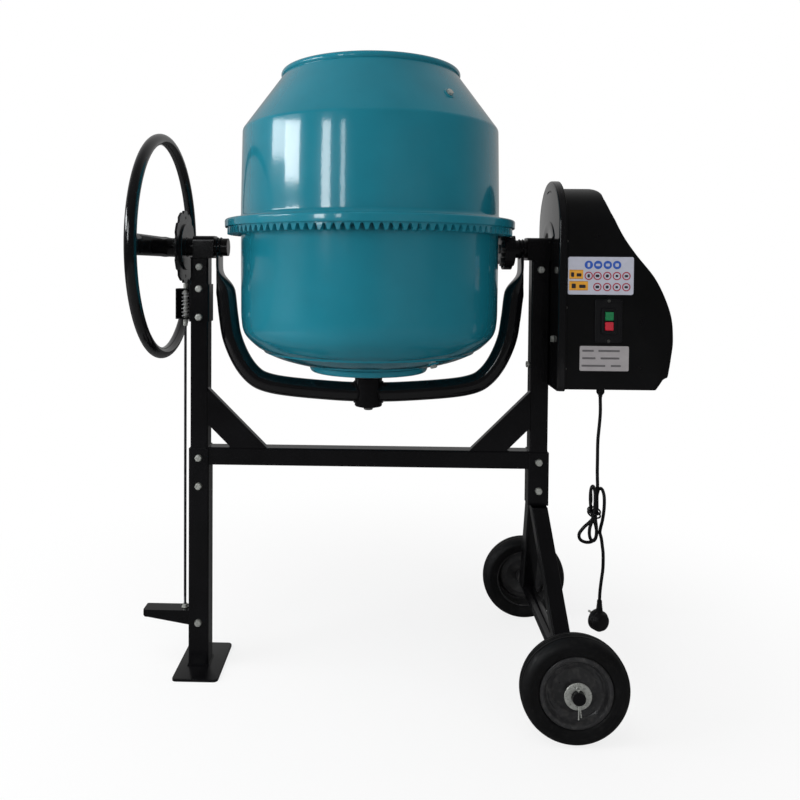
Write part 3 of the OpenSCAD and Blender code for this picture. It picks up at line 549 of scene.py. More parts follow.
def add_bolt(b, washers, origin, direction, half, spin=0.0):
    """A bolt through half each way: washer and head at the back end, washer, nut and thread at the other."""
    at = facing(origin, direction, spin)
    for end, height in ((at @ FLIP, HEAD), (at, NUT)):
        base = end @ lift(half)
        washers.add(*washer(*WASHER), base)
        b.add(*hexagon_head(HEX_FLATS, height), base @ lift(1.6) @ Matrix.Rotation(spin, 4, "Z"))
    thread = [(r, z + step) for z in (0, 0.8, 1.6, 2.4) for r, step in ((4, 0), (3.6, 0.4))]
    b.add(*turned([(0, 0)] + thread + [(3.2, 3.3), (0, 3.3)], 20), at @ lift(half + 8))


def make_frame_bolts():
    b, washers = Build(), Build()
    rows = [
        (LEFT_X, 910, 20), (LEFT_X, 861, 23), (LEFT_X, 797, 23), (LEFT_X, 479, 23), (LEFT_X, 415, 23),
        (LEFT_X, 103, 23), (RIGHT_X, 909, 20), (RIGHT_X, 479, 23), (RIGHT_X, 415, 23),
    ]
    for k, (u, z, half) in enumerate(rows):
        add_bolt(b, washers, place(u, 0, z), (0, 1, 0), half, 0.3 + 0.55 * k)
    add_bolt(b, washers, place(384.25, 0, 696), (1, 0, 0), 22.25, 0.2)
    for y in (-66, 66):
        at = facing(place(402, y, 760), (-1, 0, 0))
        washers.add(*washer(*WASHER), at)
        b.add(*hexagon_head(HEX_FLATS, HEAD), at @ lift(1.6))
    washers.make("frame_washers", DARK_ZINC, "frame", slot="zinc")
    return b.make("frame_fasteners", ZINC, "frame", slot="zinc", replaces=["frame_bolts"])


make_frame_bolts()


def add_pan_screw(b, origin, direction, r, spin=0.0):
    """A domed screw with a cross recess cut as four low lands."""
    at = facing(origin, direction, spin)
    dome = [(0, 0.62), (0.3, 0.62), (0.62, 0.52), (0.88, 0.3), (1, 0.08), (1, 0)]
    b.add(*turned([(r * a, r * z) for a, z in dome], 24), at)
    bar = round_rectangle(r * 1.15 * MM, r * 0.26 * MM, r * 0.1 * MM, 2)
    for turn in (0, 90):
        b.add(*bevelled_prism(bar, r * 0.08 * MM, r * 0.03 * MM, 1), at @ turn_z(turn) @ lift(r * 0.6))


# ---- Drum ----

DRUM_STEPS = 192


def at_tilt(x=0.0):
    return Matrix.Translation((DRUM_X + x * MM, 0, TILT_Z))


def sheet(path, wall):
    """A profile with a wall on its left side, its two free ends left square."""
    pts = [Vector(p) for p in path]
    n = len(pts)
    inner = []
    for i in range(n):
        a = (pts[i] - pts[i - 1]).normalized() if i else (pts[1] - pts[0]).normalized()
        c = (pts[i + 1] - pts[i]).normalized() if i < n - 1 else a
        na, nb = Vector((-a.y, a.x)), Vector((-c.y, c.x))
        m = (na + nb).normalized()
        inner.append(pts[i] + m * wall / max(0.5, m.dot(na)))
    return [tuple(p) for p in pts] + [tuple(p) for p in reversed(inner)]


def make_lower_drum():
    foot = flat(catmull([(134, -262), (170, -254), (205, -243.5), (235, -230.5)], 5))
    side = flat(catmull([(237.5, -226.5), (255, -215), (278, -190), (285, -159), (286, -116)], 8))
    wall = [(286.25, -80), (286.5, -40), (286.75, 0), (286.9, 30)]
    bend = arc(291.5, 40, 4.5, 180, 90, 5)
    path = [(40, -264)] + foot + side + wall + bend + [(303.2, 44.5), (304, 45.2)]
    b = Build().add(*turned(sheet(path, 2), DRUM_STEPS, True), at_tilt())
    return b.make("drum_bowl", TEAL, "drum", slot="drum_paint", replaces=["lower_drum"], angle=28)


def make_upper_drum():
    path = (
        [(321, 42.2), (321.6, 43)] + arc(317, 55, 5, 0, 90, 8) + arc(299, 72, 12, 270, 180, 8)
        + [(287, 90), (286.3, 130), (285.6, 170), (284.8, 212)] + arc(270, 251, 14, 4, 36, 8)
        + [(254, 296.6), (226, 334.9), (203, 366.4)] + arc(192, 381.6, 7.8, -50, 205, 24)
    )
    b = Build().add(*turned(sheet(path, 2), DRUM_STEPS, True), at_tilt())
    return b.make("drum_cone", TEAL, "drum", slot="drum_paint", replaces=["upper_drum"], angle=28)


def make_crown_gear():
    """110 teeth with rounded tips and rounded gaps, pointing down."""
    teeth, columns = 110, 16
    pitch = 2 * math.pi / teeth
    edge = [
        (-8.65, 39.9), (-7.4, 39.7), (-6.3, 38.9), (-5.6, 37.4), (-3.4, 30.2), (-2.9, 28.4), (-2.2, 27.5),
        (-1.0, 27.1), (0.0, 27.0), (1.0, 27.1), (2.2, 27.5), (2.9, 28.4), (3.4, 30.2), (5.6, 37.4),
        (6.3, 38.9), (7.4, 39.7),
    ]
    verts = []
    for k in range(teeth):
        for s, low in edge:
            a = (k + 0.5) * pitch + s / 17.3 * pitch
            section = [(316.4, 58), (316.4, low + 0.5), (315.9, low)]
            section += [(292, low), (291.5, low + 0.5), (291.5, 46.6)]
            verts += [(r * math.cos(a) * MM, r * math.sin(a) * MM, z * MM) for r, z in section]
    faces = grid_faces(teeth * columns, 6, wrap_cols=True, wrap_rows=True)
    b = Build().add(verts, faces, at_tilt())
    return b.make("crown_gear", TEAL, "drum", slot="drum_paint", replaces=["ring_gear"], angle=40)


def make_bottom_disc():
    profile = (
        [(12.6, -277), (44, -277), (48, -276.7), (58, -276), (121, -276)] + arc(126, -270.5, 5.5, 270, 340, 5)
        + [(132.6, -270), (133, -265), (132.8, -262.8), (130.6, -262.8), (130.4, -269)]
        + arc(125.5, -269.5, 4, -10, -80, 4) + [(60, -273.6), (46, -267), (42, -265), (12.6, -265)]
    )
    b = Build().add(*turned(profile, 144, True), at_tilt())
    return b.make("drum_foot", TEAL, "drum", slot="drum_paint", replaces=["bottom_disc"], angle=30)


BLADES = (-50, 130)
BLADE_BOLTS = ((247.9, 305, 36.2), (210, -241.5, -68))


def make_blades():
    outline = catmull(
        [(166, -240), (246, -207), (266, -184), (276, -154), (278, 40), (278, 230), (262, 257), (221, 318),
         (209, 307), (221, 252), (214, 60), (206, -114), (152, -208)], 4, closed=True,
    )
    pts = scale_mm(outline)
    b, heads, caps = Build(), Build(), Build()
    for a in BLADES:
        spin = at_tilt() @ turn_z(a)
        b.add(*bevelled_prism(pts, 2.5 * MM, 1.4 * MM), spin @ UPRIGHT)
        b.add(*bevelled_prism([(x, -y) for x, y in reversed(pts)], 2.5 * MM, 1.4 * MM), spin @ UPRIGHT @ FLIP)
        for r, z, lean in BLADE_BOLTS:
            tip = Matrix.Rotation(math.radians(90 - lean), 4, "Y")
            at = spin @ Matrix.Translation((r * MM, 0, z * MM)) @ tip
            b.add(*rod(9 * MM, 19.6 * MM, 32), at @ lift(-22))
            dome = [(4.2, -0.4), (12.4, -0.4), (12.4, 0.3), (11.6, 1.3), (9.8, 1.9), (7.8, 1.5), (4.2, 1.4)]
            caps.add(*turned(dome, 40, True), at)
            heads.add(*hexagon_head(HEX_FLATS, 4.6 * MM), at @ lift(2.3))
            heads.add(*rod(6.2 * MM, 1.8 * MM, 24), at @ lift(0.8))
    b.make("mixing_fins", TEAL, "drum", slot="drum_paint", replaces=["mixing_blades"])
    caps.make("drum_bolt_washers", TEAL, "drum", slot="drum_paint")
    return heads.make("drum_bolt_heads", ZINC, "drum", slot="zinc", replaces=["drum_bolts"])


make_lower_drum()
make_upper_drum()
make_crown_gear()
make_bottom_disc()
make_blades()

# ---- Yoke, hub and hand wheel ----

YOKE_HALF = [
    (0, -326), (70, -324), (174, -316), (232, -306), (263, -289), (290, -254), (311, -204), (319.5, -154),
    (326, -101), (337, -66), (340, -44), (340, -12),
]


def make_yoke():
    half = flat(catmull(YOKE_HALF, 8))
    line = [(-x, z) for x, z in reversed(half[1:])] + half
    n, sides = len(line), 48
    verts = []
    for i, (x, z) in enumerate(line):
        a, c = line[max(i - 1, 0)], line[min(i + 1, n - 1)]
        t = Vector((c[0] - a[0], c[1] - a[1])).normalized()
        f = min(max((z + 104) / 56, 0), 1)
        f = f * f * (3 - 2 * f)
        thick, wide, power = 22 + (3.4 - 22) * f, 22 + 8 * f, 1 - 0.45 * f
        for j in range(sides):
            w = 2 * math.pi * j / sides
            cw, sw = math.cos(w), math.sin(w)
            u = thick * math.copysign(abs(cw) ** power, cw)
            v = wide * math.copysign(abs(sw) ** power, sw)
            verts.append(((x - t.y * u) * MM, v * MM, (z + t.x * u) * MM))
    b = Build().add(verts, capped_faces(n, sides), at_tilt())
    return b.make("yoke_sweep", GLOSS_BLACK, "yoke", slot="frame_paint", replaces=["yoke_tube"], angle=45)


def make_hub():
    profile = [(23.5, -292), (29.4, -292), (31, -293.2)]
    profile += [(31, -355.4), (29.6, -357), (24.4, -357), (23.5, -356)]
    b = Build().add(*turned(profile, 72, True), at_tilt())
    for k, side in enumerate((-1, 1)):
        ring = []
        for z, y in circle_at(-325.4, 0, 22.6, 40):
            ring.append(at_tilt() @ (Vector((side * math.sqrt(31.6**2 - y * y), y, z)) * MM))
        b.add(*weld_path(ring, 0.0024, True, k + 3))
    return b.make("hub_barrel", BLACK, "yoke", slot="frame_paint", replaces=["hub_tube"])


def make_shaft():
    b = Build()
    b.add(*turned([(0, -282), (40.5, -282), (42, -280.8), (42, -277), (0, -277)], 64), at_tilt())
    b.add(*turned([(0, -358), (12.5, -358), (12.5, -282), (0, -282)], 48), at_tilt())
    b.add(*turned([(0, -360), (18.2, -360), (19, -359.3), (19, -357.6), (0, -357.6)], 48), at_tilt())
    b.add(*hexagon_head(18.2 * MM, 6 * MM), at_tilt() @ lift(-359.9) @ FLIP)
    return b.make("drum_spindle", STEEL, "drum", slot="steel", replaces=["drum_shaft"])


HAND_WHEEL_U, HAND_WHEEL_R = -465, 240


def make_hand_wheel():
    b = Build()
    across = at_tilt(HAND_WHEEL_U)
    b.add(*tube([(0, y, z) for y, z in circle_at(0, 0, HAND_WHEEL_R * MM, 160)], 12.5 * MM, 28, True), across)
    spoke = []
    for k in range(49):
        y = (HAND_WHEEL_R - 4) * (k / 24 - 1)
        near = max(0.0, (abs(y) - 200) / 36)
        grow = max(0.0, 1 - abs(y) / 34)
        w, h = 16 - 1.5 * near, 44 - 12 * near * near + 2 * grow
        spoke += [(p * MM, y * MM, q * MM) for p, q in round_rectangle(w, h, 6.5)]
    b.add(spoke, capped_faces(49, len(spoke) // 49), across)
    for k, side in enumerate((-1, 1)):
        loop = [
            across @ Vector((p * 1.04 * MM, side * (228.6 - 0.35 * abs(p)) * MM, q * 1.04 * MM))
            for p, q in round_rectangle(15, 34, 6, 5)
        ]
        b.add(*weld_path(loop, 0.0019, True, k + 9))
    b.make("hand_wheel_rim", GLOSS_BLACK, "yoke", slot="frame_paint", replaces=["hand_wheel"], angle=40)
    bolt = Build()
    at = facing(place(-473, 0, 955), (-1, 0, 0))
    bolt.add(*washer(11 * MM, 6.2 * MM, 2 * MM), at)
    bolt.add(*hexagon_head(16.4 * MM, 6 * MM), at @ lift(2))
    bolt.make("wheel_bolt", ZINC, "yoke", slot="zinc", replaces=["hand_wheel_bolt"])
    welds = Build()
    rings = (-413.2, 20.6), (-422.8, 20.6), (-336.4, 20.8), (-343.6, 20.8), (336.4, 20.8), (343.6, 20.8)
    for k, (x, r) in enumerate(rings):
        loop = [(0, y, z) for y, z in circle_at(0, 0, r * MM, 60)]
        welds.add(*weld_path(loop, 1.7 * MM, True, k + 20), at_tilt(x))
    return welds.make("pivot_welds", BLACK, "yoke", slot="frame_paint")


make_yoke()
make_hub()
make_shaft()
make_hand_wheel()

# ---- Lock disc and spring ----


LOCK_DISC_U, ROD_X = -422.5, -418


def pierced_plate(loops, depth, rounding):
    """A flat plate in mm, from its outline and its holes, with every rim rounded."""
    bm = bmesh.new()
    edges = []
    for loop in loops:
        verts = [bm.verts.new((x * MM, y * MM, 0)) for x, y in loop]
        edges += [bm.edges.new((verts[i - 1], verts[i])) for i in range(len(verts))]
    bmesh.ops.triangle_fill(bm, edges=edges, use_beauty=True, use_dissolve=False)
    bmesh.ops.recalc_face_normals(bm, faces=bm.faces)
    result = bmesh.ops.extrude_face_region(bm, geom=list(bm.faces))
    for v in result["geom"]:
        if isinstance(v, bmesh.types.BMVert):
            v.co.z += depth * MM
    rims = [e for e in bm.edges if e.is_manifold and abs(e.calc_face_angle(0)) > 1.2]
    bmesh.ops.bevel(bm, geom=rims, offset=rounding * MM, segments=2, profile=0.5, affect="EDGES")
    bm.verts.index_update()
    verts = [v.co.copy() for v in bm.verts]
    faces = [[v.index for v in f.verts] for f in bm.faces]
    bm.free()
    return verts, faces


def make_lock_disc():
    """The notched disc with four small holes, and the plate on its inner side."""
    outline = []
    reach, notch = 85.0, 9.0
    for k in range(360):
        a = math.radians(k + 0.5)
        near = (k + 0.5 - 15) % 30
        near = math.radians(min(near, 30 - near))
        offset, r = reach * math.sin(near), 82.0
        if offset < notch:
            r = min(r, reach * math.cos(near) - math.sqrt(notch * notch - offset * offset))
        outline.append((r * math.cos(a), r * math.sin(a)))
    holes = [circle_at(x, y, 4, 20) for x, y in circle_at(0, 0, 66, 4)]
    at = at_tilt(LOCK_DISC_U) @ Matrix.Rotation(math.pi / 2, 4, "Y")
    b = Build().add(*pierced_plate([outline, circle_at(0, 0, 20.05, 48)] + holes, 5, 0.5), at)
    plate = [(20.05, 4.6), (51.6, 4.6), (52, 5.2), (52, 8.2), (51.2, 9), (20.05, 9)]
    b.add(*turned(plate, 72, True), at)
    return b.make("notched_disc", DISC_BLACK, "yoke", slot="frame_paint", replaces=["lock_disc"], angle=30)


make_lock_disc()


def make_spring():
    """Seven turns, with the wire level where it meets each end."""
    turns, per_turn, flat_end = 7, 28, 0.06
    low, rise = 797.1, 51.8
    pts = []
    for k in range(turns * per_turn + 1):
        a = 2 * math.pi * k / per_turn
        share = min(max((k / (turns * per_turn) - flat_end) / (1 - 2 * flat_end), 0), 1)
        pts.append(place(ROD_X + 8 * math.cos(a), 8 * math.sin(a), low + rise * share))
    b = Build().add(*tube(pts, 0.00128, 10))
    spring = b.make("lock_coil", SPRING, "frame", slot="steel", replaces=["lock_spring"])
    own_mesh(spring)
    return spring


make_spring()


def make_pull_rod():
    """Lock pin with its collar, the thin rod with a threaded foot, and the nut and washer on the pedal."""
    up = Matrix.Translation(place(ROD_X, 0, 0))
    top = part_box("pull_rod")[1].z / MM
    foot = [(0, 112), (2.3, 112), (2.95, 112.7)]
    for k in range(32):
        foot += [(2.95, 113.2 + k * 1.25), (2.6, 113.8 + k * 1.25)]
    wire = Build().add(*turned(foot + [(2.95, 153.6), (2.95, 777), (0, 777)], 24), up)
    wire.make("pull_wire_rod", ROD_WIRE, "lock_pin", slot="steel", replaces=["pull_rod"])
    b = Build().add(*turned([(0, 776), (4.4, 776), (5, 776.6), (5, top - 0.8), (4.2, top), (0, top)], 32), up)
    b.add(*turned([(4.9, 851), (8.6, 851), (9, 851.4), (9, 853.6), (8.6, 854), (4.9, 854)], 32, True), up)
    flat_washer = [(2.9, 128.6), (7.7, 128.6), (8, 128.9), (8, 129.9), (7.7, 130.2), (2.9, 130.2)]
    b.add(*turned(flat_washer, 32, True), up)
    b.add(*hexagon_head(11.2 * MM, 6 * MM), up @ lift(130.1))
    b.make("lock_pin_and_nut", ZINC, "lock_pin", slot="zinc")


make_pull_rod()


def make_pedal():
    """Pressed pedal: a slotted tread with rounded corners between two cheeks, which carry the pivot."""
    tread = [(-384, -17.8), (-384, 17.8)] + arc(-506, 13.8, 4, 90, 180, 5) + arc(-506, -13.8, 4, 180, 270, 5)
    slot = arc(ROD_X, 0, 4.5, 90, 270, 10) + arc(ROD_X + 7.5, 0, 4.5, -90, 90, 10)
    b = Build().add(*pierced_plate([tread, slot], 2.8, 0.9), Matrix.Translation(place(0, 0, 125.1)))
    cheek = [(-499, 111.4), (-404, 95.2), (-372, 95.2), (-368.2, 103), (-372, 114), (-384, 127)]
    cheek += [(-507, 127), (-509.2, 125.4)] + arc(-503.4, 117.4, 5.8, 180, 262, 5)
    hole = circle_at(LEFT_X, 103, 4.05, 40)
    for y in (-14.8, 17.8):
        b.add(*pierced_plate([cheek, hole], 2.9, 0.7), Matrix.Translation(place(0, y, 0)) @ UPRIGHT)
    return b.make("pedal_pressing", BLACK, "pedal", slot="frame_paint", replaces=["foot_pedal"], angle=40)


make_pedal()

# ---- Motor casing ----

SIDE_Y = -100.0


def casing_path(half, arch_z, low, corner, steps=28):
    """Outline in Y and Z, from the arch's right end over the top and round the foot."""
    return (
        arc(0, arch_z, half, 0, 180, steps) + arc(corner - half, low + corner, corner, 180, 270, 6)
        + arc(half - corner, low + corner, corner, 270, 360, 6)
    )


def yz_at(u, towards=1):
    """A frame whose X is Y, whose Y is height and whose Z runs along X, or against it."""
    turn = Matrix(((0, 0, towards, 0), (1, 0, 0, 0), (0, 1, 0, 0), (0, 0, 0, 1)))
    return Matrix.Translation((DRUM_X + u * MM, 0, 0)) @ turn


def make_pan():
    b = Build()
    b.add(*bevelled_prism(scale_mm(casing_path(106, 1001, 650, 16)), 14 * MM, 7 * MM, 6), yz_at(416, -1))
    # raised collar over the tilt axis, and the pressed crescent above it
    steps = 60
    verts = []
    section = [(26, 0.5), (26, -1.6), (27.5, -2.5), (59, -2.5), (62.6, -2.0), (64, 0.5)]
    for k in range(steps + 1):
        a = math.radians(20 + 140 * k / steps)
        taper = min(1, k / 3, (steps - k) / 3)
        for r, x in section:
            depth = x if x > 0 else x * taper
            verts.append(((402 + depth) * MM, r * math.cos(a) * MM, r * math.sin(a) * MM))
    b.add(verts, capped_faces(steps + 1, len(section)), at_tilt())
    crescent = [(0, y * MM, z * MM) for y, z in arc(0, 84, 46, 58, 122, 24)]
    b.add(*tube(crescent, lambda t: (0.2 + 2.4 * math.sin(math.pi * t)) * MM), at_tilt(402.4))
    rolled = [place(405.5, y, z) for y, z in casing_path(102.6, 1001, 653.4, 14)]
    b.add(*tube(rolled, 3.4 * MM, 10, closed=True))
    b.make("casing_pan", GLOSS_BLACK, "frame", slot="frame_paint", replaces=["casing_back"], angle=40)


def cover_outline():
    """The cover from the side, X from the drum's axis and height, from the foot's back to the top's back."""
    front = flat(catmull([
        (636.5, 686), (642, 722), (645.9, 765), (639, 821), (609.5, 888), (566, 943), (538, 983), (515, 1028),
        (504, 1063),
    ], 8))
    foot = [(x, 655) for x in (418, 460, 500, 540, 580, 607)] + arc(608, 661, 6, 290, 340, 4)
    step = [(618, 665), (626, 677.5), (630.5, 680.4), (634.8, 682)]
    top = arc(480, 1068, 24, 20, 90, 10) + [(x, 1092) for x in (466, 450, 434, 418)]
    return foot + step + front + top


def make_cover():
    """The outline over the casing's width, rounded at both sides and held under the arch at the back."""
    outline = [Vector(p) for p in cover_outline()]
    n = len(outline)
    normals = []
    for i in range(n):
        a = (outline[i] - outline[max(i - 1, 0)]) if i else (outline[1] - outline[0])
        c = (outline[min(i + 1, n - 1)] - outline[i]) if i < n - 1 else a
        na, nb = Vector((a.y, -a.x)).normalized(), Vector((c.y, -c.x)).normalized()
        m = (na + nb).normalized()
        normals.append(m / max(0.6, m.dot(na)))
    width, radius = 100.0, 5.0
    edge = [(x - width, radius - y) for x, y in arc(radius, 0, radius, 180, 90, 8)]
    middle = [(-(width - radius) * math.cos(math.pi / 2 * k / 16), 0.0) for k in range(1, 17)]
    half = edge + middle
    ys = half + [(-y, d) for y, d in reversed(half[:-1])]
    verts = []
    for y, inset in ys:
        arch = 991 + math.sqrt(max(0.0, width**2 - y * y)) - 0.4
        for p, m in zip(outline, normals):
            q = p - m * inset
            x, z = max(q.x, 418), q.y
            gap = (arch - z) / 9.0
            if gap < 1:
                h = max(0.0, min(1.0, 0.5 + 0.5 * gap))
                z = arch * (1 - h) + z * h - 9.0 * h * (1 - h) * 0.5
                z = min(z, arch)
            verts.append((x * MM, y * MM, z * MM))
    b = Build().add(verts, capped_faces(len(ys), n), Matrix.Translation((DRUM_X, 0, 0)))
    b.make("casing_shell", CASING, "frame", slot="cover_plastic", replaces=["casing_cover"], angle=38)
    rim = Build()
    rim.add(*bevelled_prism(scale_mm(casing_path(106, 1001, 650, 16)), 3 * MM, 1.3 * MM), yz_at(416))
    rim.make("casing_flange", CASING, "frame", slot="cover_plastic", angle=40)
    screws = Build()
    for k, (y, z) in enumerate(((103, 700), (103, 830), (103, 970), (72, 1074))):
        for side in (-1, 1):
            add_pan_screw(screws, place(419, side * y, z), (1, 0, 0), 2.9, 0.4 * k)
    add_pan_screw(screws, place(419, 0, 1104), (1, 0, 0), 2.9, 0.2)
    for z in (760, 844.5):
        add_pan_screw(screws, place(508, SIDE_Y - 4, z), (0, -1, 0), 3.4, 0.5)
    return screws.make("casing_screw_heads", DARK_ZINC, "frame", slot="zinc", replaces=["casing_screws"])


make_pan()
make_cover()

# ---- Labels: blank films with plain shapes ----


def on_side(u, z, lift):
    """A frame on the casing's front side face: X to the right, Y up, Z towards the viewer."""
    turn = Matrix(((1, 0, 0, 0), (0, 0, -1, 0), (0, 1, 0, 0), (0, 0, 0, 1)))
    return Matrix.Translation(place(u, SIDE_Y - lift, z)) @ turn


def film(b, u, z, w, h, r, lift=0.0, t=0.3):
    outline = round_rectangle(w * MM, h * MM, r * MM, 5)
    b.add(*bevelled_prism(outline, t * MM, t * 0.3 * MM, 1), on_side(u, z, lift))


def make_labels():
    base = Build()
    film(base, 490.9, 897.6, 137.8, 79.8, 4)
    base.make("label_sheet", FILM, "frame", slot="label_plastic", replaces=["casing_labels"])
    blue, pale, red, amber, ink = Build(), Build(), Build(), Build(), Build()
    disc = bevelled_prism(circle_at(0, 0, 8.9 * MM, 40), 0.12 * MM, 0.04 * MM, 1)
    for u, w, h in ((465.4, 5.4, 9.4), (484.9, 9.6, 5.4), (505.1, 8.6, 6.2), (524.6, 7.4, 7.4)):
        blue.add(*disc, on_side(u, 920.6, 0.3))
        film(pale, u, 920.6, w, h, 2.4, 0.42, 0.1)
    rows = (897.4, (465.4, 483.9, 504.4, 524.6, 544.5)), (874, (483.9, 504.4, 524.6, 544.5))
    for row, (z, columns) in enumerate(rows):
        for k, u in enumerate(columns):
            red.add(*turned([(8.9, 0), (8.9, 0.12), (6.5, 0.12), (6.5, 0)], 40, True), on_side(u, z, 0.3))
            w, h = ((7.6, 5.2), (5.4, 7.4), (8.0, 5.8), (6.4, 6.4), (5.8, 5.2))[(k + 1 + row) % 5]
            film(ink, u, z, w, h, 2.2, 0.3, 0.1)
    for u, z, w, h in ((439.2, 900.4, 29.4, 19.5), (444.5, 876.3, 39.7, 19.9)):
        film(amber, u, z, w, h, 1.2, 0.3, 0.12)
        film(ink, u - w * 0.26, z - 0.6, w * 0.22, h * 0.5, 1.6, 0.42, 0.08)
        film(ink, u + w * 0.2, z - 1.2, w * 0.34, h * 0.36, 1.6, 0.42, 0.08)
        for side in (-1, 1):
            film(ink, u, z + side * (h / 2 - 0.9), w - 1.4, 0.5, 0.2, 0.42, 0.06)
    for b, name, mat in ((blue, "label_blue", BLUE), (pale, "label_pale", FILM), (red, "label_red", RED),
                         (amber, "label_amber", AMBER), (ink, "label_ink", INK)):
        b.make(name, mat, "frame", slot="label_plastic")
    plate = Build()
    film(plate, 500.5, 722.3, 103.4, 53, 3, 0, 0.5)
    plate.make("rating_film", PLATE_FILM, "frame", slot="label_plastic")
    bars = Build()
    places = (466.3, 738.6, 24), (510.6, 738.6, 45), (468.2, 722.8, 28), (512.6, 722.8, 39.6)
    for u, z, w in places + ((477.9, 706.8, 50), (525.1, 706.8, 21)):
        film(bars, u, z, w, 4.2, 1.2, 0.5, 0.08)
    return bars.make("rating_bars", GREY_INK, "frame", slot="label_plastic")


make_labels()

# ---- Switch ----


def frame_prism(outer, inner, depth, bevel):
    """A picture frame: outer and inner outlines with as many points, rounded on its front edges."""
    n = len(outer)
    rows = [(0, 0.0), (0, depth - bevel), (bevel * 0.3, depth - bevel * 0.3), (bevel, depth)]
    verts = []

    def inset(loop, d):
        pts = [Vector(p) for p in loop]
        out = []
        for i in range(n):
            a, c = (pts[i] - pts[i - 1]).normalized(), (pts[(i + 1) % n] - pts[i]).normalized()
            m = (Vector((a.y, -a.x)) + Vector((c.y, -c.x))).normalized()
            out.append(pts[i] - m * d)
        return out

    for d, z in rows:
        verts += [(*p, z) for p in inset(outer, d)]
    for d, z in reversed(rows):
        verts += [(*p, z) for p in inset(inner, -d)]
    return verts, grid_faces(2 * len(rows), n, True, True)


SWITCH_U, SWITCH_Z = 508, 802


def make_switch():
    b = Build()

    def block(w, h, r, steps=6):
        return round_rectangle(w * MM, h * MM, r * MM, steps)

    hole = block(18.8, 40.6, 0.8)
    b.add(*frame_prism(block(58, 92, 5), hole, 3.4 * MM, 1.2 * MM), on_side(SWITCH_U, SWITCH_Z, 0))
    border = frame_prism(block(53, 87, 3.6), block(50, 84, 2.8), 0.6 * MM, 0.25 * MM)
    b.add(*border, on_side(SWITCH_U, SWITCH_Z, 3.3))
    b.add(*frame_prism(block(32, 54, 4), hole, 8 * MM, 1.4 * MM), on_side(SWITCH_U, SWITCH_Z, 0))
    b.add(*bevelled_prism(block(19.1, 1.8, 0.4, 2), 7.2 * MM, 0.4 * MM, 1), on_side(SWITCH_U, SWITCH_Z, 0))
    b.add(*bevelled_prism(block(30, 58, 1, 2), 20 * MM, 0.5 * MM, 1), on_side(SWITCH_U, SWITCH_Z, -23))
    for z in (760, 844.5):
        b.add(*turned([(3.6, 0), (6.4, 0), (6.4, 0.5), (5.8, 0.9), (4.2, 0.9), (3.6, 0.5)], 32, True),
              on_side(SWITCH_U, z, 3.2))
    b.make("switch_housing", SWITCH, "frame", slot="cover_plastic", replaces=["switch_plate"])
    keys = ("start", 812.6, GREEN_BUTTON, "green_plastic"), ("stop", 791.4, RED_BUTTON, "red_plastic")
    for body, z, mat, slot in keys:
        cap = bevelled_prism(block(17.5, 18, 1.6, 5), 23.4 * MM, 1.1 * MM, 4)
        key = Build().add(*cap, on_side(SWITCH_U, z, -14))
        ring = turned([(3.1, 0), (3.1, 0.12), (2.9, 0.25), (2.3, 0.25), (2.1, 0.12), (2.1, 0)], 32, True)
        key.add(*ring, on_side(SWITCH_U, z, 9.35))
        key.make(body + "_key", mat, body, slot=slot, replaces=[body + "_button"])


make_switch()


def make_gland():
    b = Build()
    down = facing(place(500, CORD_Y, 655), (0, 0, -1))
    b.add(*hexagon_head(15.6 * MM, 8 * MM), down)
    ribs = [(8.6, 7.6), (8.2, 8.6)]
    for k in range(6):
        z = 9.0 + 0.9 * k
        r = 8.0 - 0.62 * k
        ribs += [(r, z), (r, z + 0.55), (r - 0.7, z + 0.6), (r - 0.7, z + 0.85)]
    ribs += [(4.4, 17.2), (3.9, 17.9), (0, 17.9)]
    b.add(*turned([(0, 7.6)] + ribs, 36), down)
    up = facing(place(500, CORD_Y, 658), (0, 0, 1))
    b.add(*hexagon_head(15.6 * MM, 5 * MM), up)
    b.add(*turned([(0, -3), (6.7, -3), (6.7, 1), (0, 1)], 32), up)
    return b.make("gland_nut", CORD, "frame", slot="cord_rubber", replaces=["cable_gland"])


make_gland()

# ---- Wheels ----


AXLE_U, AXLE_Z = 405, 105


def wheel_at(side):
    """The wheel's own frame, with Z pointing away from the machine."""
    outward = Matrix.Rotation(-side * math.pi / 2, 4, "X")
    return Matrix.Translation(place(AXLE_U, side * 265, AXLE_Z)) @ outward


def interp(points, x):
    for (a, va), (c, vc) in zip(points, points[1:]):
        if x <= c:
            return va + (vc - va) * (x - a) / (c - a)
    return points[-1][1]


